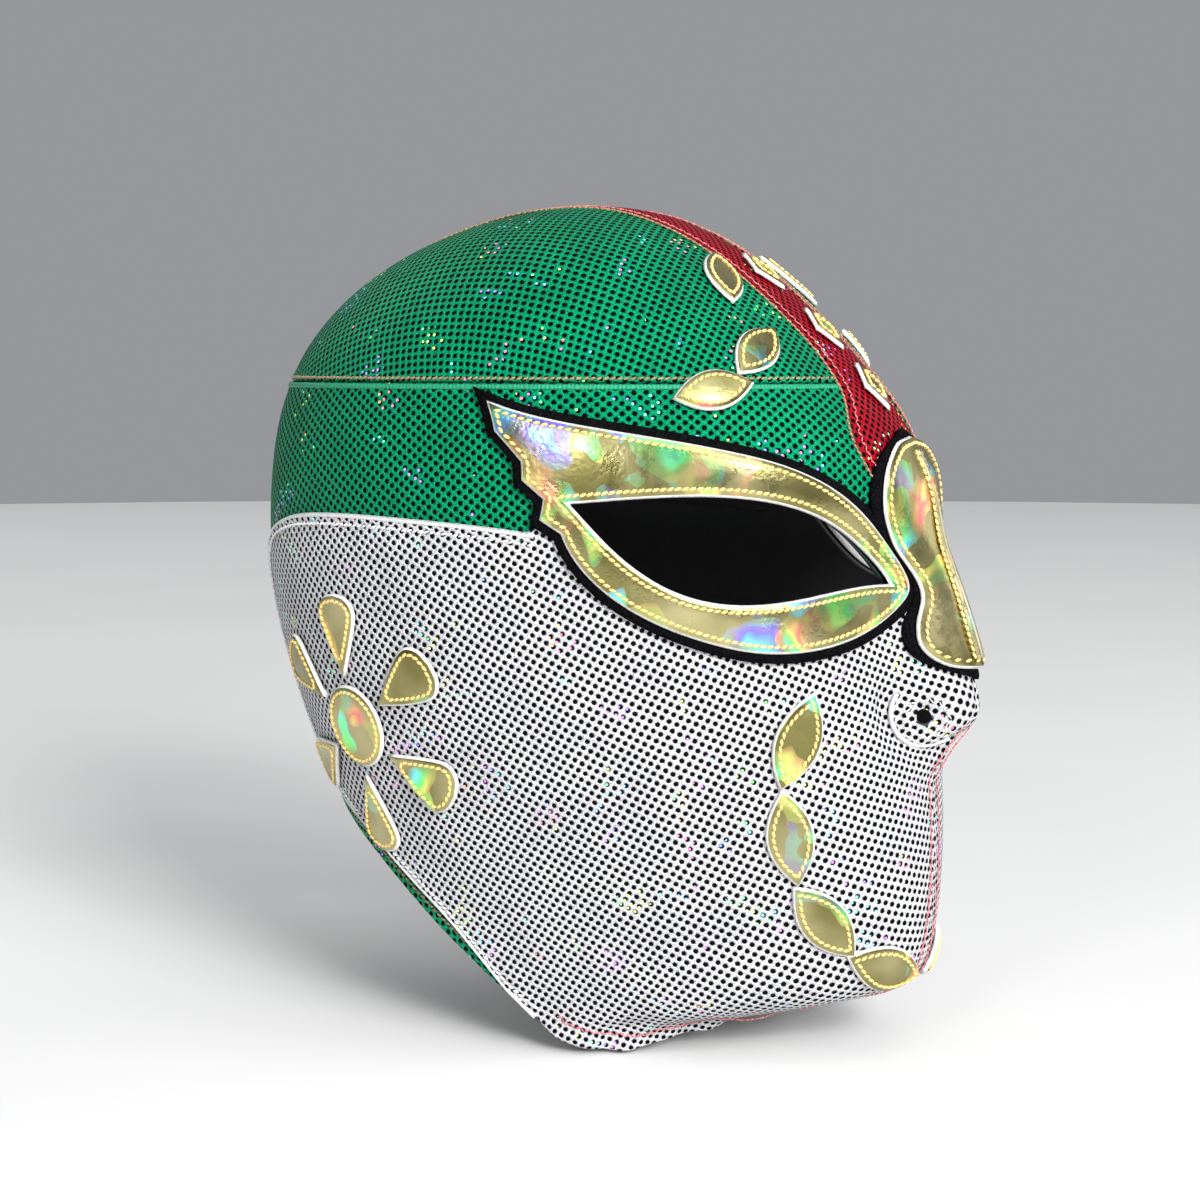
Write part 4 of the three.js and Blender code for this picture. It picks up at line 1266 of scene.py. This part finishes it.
def noseTrim():
    feltSheet("nose_felt", guardShape(True), np.linspace(0, 1, 11), "felt_nose")
    paths = [appliqued("nose_foil", "nose_guard", guardShape(False), wrapped, kind="trim")]
    row = rowAt(np.linspace(0.53 * nose["tipDown"], 0.955 * nose["tipDown"], 60))
    base = layers["trimTop"] + layers["puff"]
    for side in sides.values():
        paths.append(seamPath(guard["ridgeStitch"] / sideAt(row), row, goldStitch, base, side))
    stitchPiece("nose_stitches", paths, seed=3)
    tapePiece("nose_ridge", [(0 * row, row, 1)], paleFoil, 0.0022, guard["ridge"], base)


def eyeTrim(label, side):
    outer, inner = surroundShape(layers["feltMargin"])
    noseSide = guardEdge(True)[::-1]
    beside = np.interp(outer[:, 1], noseSide[:, 1], noseSide[:, 0], left=0, right=0)
    outer[:, 0] = np.maximum(outer[:, 0], beside + 0.0003)
    name, node, shares = "eye_felt_" + label, "felt_eye_" + label, (0, 0.2, 0.4, 0.7, 1)
    feltSheet(name, (outer, inner), shares, node, side, True)
    outer, inner = surroundShape()
    rim = (grown(outer, layers["whiteRim"]), grown(inner, -layers["whiteRim"]))
    name, node = "eye_foil_" + label, "eye_surround_" + label
    foilPiece(name, node, (outer, inner), rim, wrapped, "trim", side, True)
    height, paths = layers["trimTop"] + layers["puff"], []
    for ring, by in ((outer, layers["stitchInset"]), (inner, -layers["stitchInset"])):
        paths.append(stitchPath(drawnIn(ring, by), wrapped, height, side))
    stitchPiece("eye_stitches_" + label, paths, seed=4)


# Foil leaves, lozenges and rosettes
crest = {
    "across": 0.42 * head["breadth"],
    "down": 0.034 * head["height"],
    "radius": 0.192 * head["height"],
    "start": math.radians(180),
    "startSpace": 0.0035,
    "leaves": 3,
    "leafSpace": 0.0026,
    "long": 0.0215,
    "wide": 0.0105,
}
mouth = {
    "across": 0,
    "down": 0.686 * head["height"],
    "radius": 0.327 * head["breadth"],
    "start": math.radians(-90),
    "startSpace": 0.0039,
    "leaves": 4,
    "leafSpace": 0.0007,
    "long": 0.026,
    "wide": 0.012,
}
lozenges = {"long": 0.015, "wide": 0.0095, "downs": (0.085, 0.153, 0.22)}
rosette = {
    "around": math.radians(118),
    "down": 0.619 * head["height"],
    "petals": 6,
    "disc": 0.0115,
    "inner": 0.015,
    "petalLong": 0.0225,
    "petalWide": 0.015,
}


def garland(arc, title, label, side):
    paths = []
    for n in range(arc["leaves"]):
        along = arc["startSpace"] + arc["long"] / 2 + n * (arc["long"] + arc["leafSpace"])
        angle = arc["start"] + along / arc["radius"]
        u = arc["across"] + arc["radius"] * math.cos(angle)
        v = -arc["down"] + arc["radius"] * math.sin(angle)
        lay = pressed(wrapped(np.array([u, v])), angle + math.pi / 2)
        shape, end = leafShape(arc["long"], arc["wide"]), f"{label}_{n + 1}"
        paths.append(appliqued(f"{title}_foil_{end}", f"{title}_leaf_{end}", shape, lay, side))
    stitchPiece(f"{title}_stitches_{label}", paths, seed=5)


def rosettePieces(label, side):
    place, shape = (rosette["around"], rowAt(rosette["down"])), discShape(rosette["disc"])
    name, node = "rosette_foil_" + label, "rosette_disc_" + label
    paths = [appliqued(name, node, shape, pressed(place), side)]
    shape = petalShape(rosette["petalLong"], rosette["petalWide"], rosette["inner"])
    for n in range(rosette["petals"]):
        turn = (n + 0.5) * 2 * math.pi / rosette["petals"]
        name, node = f"petal_foil_{label}_{n + 1}", f"rosette_petal_{label}_{n + 1}"
        paths.append(appliqued(name, node, shape, pressed(place, turn), side))
    stitchPiece("rosette_stitches_" + label, paths, seed=6)


# Seams: threads that follow lines on the cloth, and narrow tapes
tapeLook = {"width": 0.0016, "high": 0.0004}
fold = {"width": 0.0015, "high": 0.0009, "above": 0.0005}


def shifted(around, row, by):
    # the line moved sideways over the cloth, to the right of its direction seen from outside
    points = hoodPoint(around, row)
    sideways = np.cross(np.gradient(points, axis=0), hoodNormal(around, row))
    sideways /= np.linalg.norm(sideways, axis=1, keepdims=True)
    small = 0.003
    byAround = (hoodPoint(around + small, row) - points) / small
    byRow = (hoodPoint(around, row + small) - points) / small
    moved = []
    for a, b, want in zip(byAround, byRow, sideways * by):
        moved.append(np.linalg.lstsq(np.stack([a, b], axis=1), want, rcond=None)[0])
    moved = np.array(moved)
    return around + moved[:, 0], row + moved[:, 1]


def seamThread(name, lines, thread, height=0.0003, size=seamStitch, seed=11):
    paths = [seamPath(around, row, size, height, side) for around, row, side in lines]
    stitchPiece(name, paths, thread, size, seed)


def tapePiece(name, lines, material, width, high, base=0.0):
    # a narrow strip with a rounded back, laid along each line
    mesh = bmesh.new()
    across = np.linspace(-1, 1, 5)
    for around, row, side in lines:
        columns = [shifted(around, row, share * width / 2) for share in across]
        turns, rows = (np.stack(parts, axis=1) for parts in zip(*columns))
        heights = np.broadcast_to(base + high * np.sqrt(1.02 - across**2), turns.shape)
        length = np.arange(len(around))[:, None] * 0.003 + 0 * turns
        flat = np.stack([length, np.broadcast_to(across * width / 2, turns.shape)], axis=-1)
        addGrid(mesh, onCloth(turns, rows, heights), flat, side)
    thicken(newPiece(name, mesh, [material]), high * 1.2)


noseTrim()
for label, side in sides.items():
    eyeTrim(label, side)
print("eye surrounds and nose guard made")

for label, side in sides.items():
    garland(crest, "crest", label, side)
    garland(mouth, "mouth", label, side)
    rosettePieces(label, side)
paths = []
for n, share in enumerate(lozenges["downs"]):
    shape = lozengeShape(lozenges["long"], lozenges["wide"])
    lay = pressed((0, rowAt(share * head["height"])))
    paths.append(appliqued(f"lozenge_foil_{n + 1}", f"strip_lozenge_{n + 1}", shape, lay))
stitchPiece("lozenge_stitches", paths, seed=7)
print("foil pieces made")


def crownLine(first, last, by=0):
    around = np.linspace(first, last, 90)
    return around, rowAt(seamDown + by + 0 * around)


def hemLine(first, last, by):
    around = np.linspace(first, last, 80)
    return around, rowAt(hemDown(around) - by)


def stripLine(by):
    # the strip's edge from the brow over the crown to the back seam
    trial = np.linspace(0.05, 4, 4001)
    half = panelCut["stripHalf"] + by
    topRow = np.interp(half, sideAt(trial), trial)
    place = np.linspace(1, 0, 70)
    front = topRow + (browRow - topRow) * place**1.6
    wide = stripHalfAt(downAt(front)) + by
    frontTurn = np.arcsin(np.minimum(wide / sideAt(front), 1))
    back = topRow + (seamRow - topRow) * place[::-1][1:] ** 1.8
    backTurn = math.pi - np.arcsin(np.minimum(half / sideAt(back), 1))
    return np.concatenate([frontTurn, backTurn]), np.concatenate([front, back])


def faceRim(by):
    # the face panel's free edge: along the top behind the eye, down the rear, along the foot
    rear = faceRear - by / panelCut["rearRadius"]
    top = np.linspace(eyeOuterAround + math.radians(5), rear, 50)
    topRow = rowAt(faceTopDown(top) + by - panelCut["overlap"])
    heel, corner = head["height"] * faceTop[-1][1] + by, underDown(faceRear) - by
    down = np.linspace(heel, corner, 20)[1:-1]
    low = np.linspace(rear, faceFoot + 0.06, 60)
    lowRow = rowAt(np.minimum(underDown(low) + panelCut["overlap"], hemDown(low)) - by)
    turns = np.concatenate([top, np.full(len(down), rear), low])
    return turns, np.concatenate([topRow, rowAt(down), lowRow])


def nostrilLine(first, last, count, radius, across=1.0, up=0.0, least=0.0):
    # an arc round the nostril, kept off the face's middle
    turn = np.linspace(first, last, count)
    u = np.maximum(faceDetail["nostrilAcross"] * across + radius * np.cos(turn), least)
    return wrapped(np.stack([u, up - faceDetail["nostrilDown"] + radius * np.sin(turn)], axis=-1))


def bothSides(line):
    return [(*line, side) for side in sides.values()]


def sewSeams():
    end = math.pi - panelCut["stripHalf"] / float(sideAt(seamRow))
    thread, tape = crownLine(seamStart + 0.02, end, -0.0009), crownLine(seamStart + 0.02, end, 0.0013)
    seamThread("crown_thread", bothSides(thread), "copperThread", 0.0001)
    tapePiece("crown_edge_tape", bothSides(tape), looks["greenTape"], *tapeLook.values())
    seamThread("strip_thread", bothSides(stripLine(0.0015)), "copperThread")
    lines = bothSides(stripLine(-0.002))
    seamThread("strip_inner_thread", lines, "pinkThread", size=zigzagStitch)
    tapePiece("face_edge_tape", bothSides(faceRim(0.0006)), looks["whiteTape"], 0.0014, 0.0013)
    seamThread("face_edge_thread", bothSides(faceRim(0.0029)), "whiteThread", 0.0009)
    lines = bothSides(hemLine(0.03, faceFoot - 0.03, 0.005))
    height = lambda turn: 0.0004 + hemPucker(turn, 0.005)
    seamThread("hem_thread", lines, "pinkThread", height, zigzagStitch, 1)
    lines = bothSides(hemLine(faceFoot + 0.15, math.pi - 0.2, 0.0046))
    seamThread("rear_hem_thread", lines, "copperThread")
    lines = bothSides(nostrilLine(0, 2 * math.pi, 60, faceDetail["nostrilRing"]))
    height = faceDetail["wingProud"] + 0.0002
    seamThread("nostril_thread", lines, "whiteThread", height, zigzagStitch)
    angles = (math.radians(35), math.radians(-125))
    line = nostrilLine(*angles, 50, faceDetail["foldRadius"], 0.8, 0.001, 0.0008)
    base = noseWing(hoodPoint(*line))[:, None] + fold["above"]
    tapePiece("nose_fold", bothSides(line), looks["whiteTape"], fold["width"], fold["high"], base)
    row = np.linspace(rowAt(nose["tipDown"]), rowAt(hemDown(0) - 0.002), 120)
    lines = bothSides((0.003 / sideAt(row), row))
    seamThread("chin_thread", lines, "pinkThread", size=zigzagStitch)


placket = {"width": 0.026, "belowSeam": 0.006, "height": 0.0017, "wall": 0.0016, "stitchIn": 0.0028}


def backPlacket():
    top, foot = seamDown + placket["belowSeam"], float(hemDown(math.pi)) - 0.001
    down = top + (foot - top) * sharesAlong(foot - top)
    across = (sharesAlong(placket["width"]) - 0.5) * placket["width"]
    rows = np.broadcast_to(rowAt(down)[None, :], (len(across), len(down)))
    turns = math.pi + np.arcsin(across[:, None] / sideAt(rows))
    sideAway = np.minimum(across - across[0], across[-1] - across)[:, None] + 0 * rows
    endAway = np.minimum(down - down[0], down[-1] - down)[None, :] + 0 * rows
    lift = foldedEdge(np.minimum(sideAway, endAway), 0.0003, 0.0004, 0.0026)
    grid = (turns, rows, placket["height"] + lift)
    piece = clothPanel("placket_cloth", [grid], greenNet, "back_placket")
    thicken(piece, placket["wall"], 0, 1)
    stretchedSheet(piece)
    high, low = top + placket["stitchIn"], foot - placket["stitchIn"]
    half = placket["width"] / 2 - placket["stitchIn"]
    row = rowAt(np.linspace(high, low, 60))
    lines = [(math.pi + np.arcsin(x / sideAt(row)), row, 1) for x in (half, -half)]
    for down in (high, low):
        row = np.full(12, rowAt(down))
        lines.append((math.pi + np.arcsin(np.linspace(-half, half, 12) / sideAt(row)), row, 1))
    seamThread("placket_thread", lines, "copperThread", placket["height"] + 0.0001)


def seamBacking():
    # dark tape sewn inside along each seam between two panels
    front = np.linspace(browRow, rowAt(hemDown(0) - 0.001), 90)
    back = np.linspace(seamRow, rowAt(hemDown(math.pi) - 0.001), 60)
    lines = [(0 * front, front, 1), (math.pi + 0 * back, back, 1)]
    lines += bothSides(crownLine(seamStart, math.pi - seamStart)) + bothSides(stripLine(0.0))
    inside = -head["clothWall"] - 0.0003
    tapePiece("inside_tape", lines, looks["darkLining"], 0.007, 0.0002, inside)


sewSeams()
seamBacking()
backPlacket()
print("seams sewn")


# The stage, the lights and the camera
# mirrored lamps show in the foil, the others only light it
lamps = [
    {"name": "key", "place": (-1.8, -2.13, 0.88), "size": 0.8, "watts": 125, "mirrored": False},
    {"name": "paintedGlint", "place": (-1.25, -2.2, 1.5), "size": 0.7, "watts": 24, "mirrored": True},
    {"name": "edge", "place": (-2.6, -0.3, 0.95), "size": 0.6, "watts": 14, "mirrored": True},
    {"name": "fill", "place": (1.95, -2.25, 0.65), "size": 1.8, "watts": 13.5, "mirrored": True},
    {"name": "rim", "place": (1.2, 2.55, 1.7), "size": 1.5, "watts": 7, "mirrored": True},
]
stage = {
    "floorDown": 0.2352,
    "floorRadius": 3.0,
    "lampTarget": (0, 0, -0.11),
    "skyColour": (0.84, 0.86, 0.9, 1),
    "skyStrength": 0.36,
    "sun": 0.7,
    "sunWide": math.radians(50),
    "sunTurn": (math.radians(22), math.radians(-14), 0),
}


def placed(name, data):
    piece = bpy.data.objects.new(name, data)
    bpy.context.scene.collection.objects.link(piece)
    return piece


def softLight(look):
    lamp = bpy.data.lights.new(look["name"], "AREA")
    lamp.size, lamp.energy = look["size"], look["watts"]
    light = placed(look["name"], lamp)
    light.location = look["place"]
    light.rotation_mode = "QUATERNION"
    direction = Vector(stage["lampTarget"]) - light.location
    light.rotation_quaternion = direction.to_track_quat("-Z", "Y")
    light.visible_glossy = look["mirrored"]


def dressStage():
    mesh = bmesh.new()
    bmesh.ops.create_circle(mesh, cap_ends=True, segments=64, radius=stage["floorRadius"])
    data = bpy.data.meshes.new("floor")
    mesh.transform(Matrix.Translation((0, 0, -stage["floorDown"])))
    mesh.to_mesh(data)
    mesh.free()
    data.materials.append(looks["paleFloor"])
    placed("floor", data)
    world = bpy.data.worlds.new("studio")
    bpy.context.scene.world = world
    world.use_nodes = True
    sky = {"Color": stage["skyColour"], "Strength": stage["skyStrength"]}
    feed(world.node_tree, world.node_tree.nodes["Background"], sky)
    for look in lamps:
        softLight(look)
    lamp = bpy.data.lights.new("sky", "SUN")
    lamp.energy, lamp.angle = stage["sun"], stage["sunWide"]
    placed("sky", lamp).rotation_euler = stage["sunTurn"]
    bpy.context.scene.view_settings.view_transform = "Standard"


view = {
    "azimuth": math.radians(-62),
    "elevation": math.radians(5),
    "distance": 0.8,
    "aim": (0, -0.004, -0.118),
    "shownWidth": 0.3509,
    "aimRight": 0.00263,
    "aimDown": 0.0057,
}


def placeCamera():
    turn, rise = view["azimuth"], view["elevation"]
    level = math.cos(rise)
    back = Vector((math.sin(turn) * level, -math.cos(turn) * level, math.sin(rise)))
    right = Vector((math.cos(turn), math.sin(turn), 0))
    up = back.cross(right)
    target = Vector(view["aim"]) - right * view["aimRight"] + up * view["aimDown"]
    lens = bpy.data.cameras.new("photoView")
    lens.lens = lens.sensor_width * view["distance"] / view["shownWidth"]
    lens.clip_start = 0.01
    camera = placed("photoView", lens)
    camera.location = target + back * view["distance"]
    camera.rotation_mode = "QUATERNION"
    camera.rotation_quaternion = (-back).to_track_quat("-Z", "Y")
    bpy.context.scene.camera = camera


dressStage()
placeCamera()
print("stage, lights and camera made")
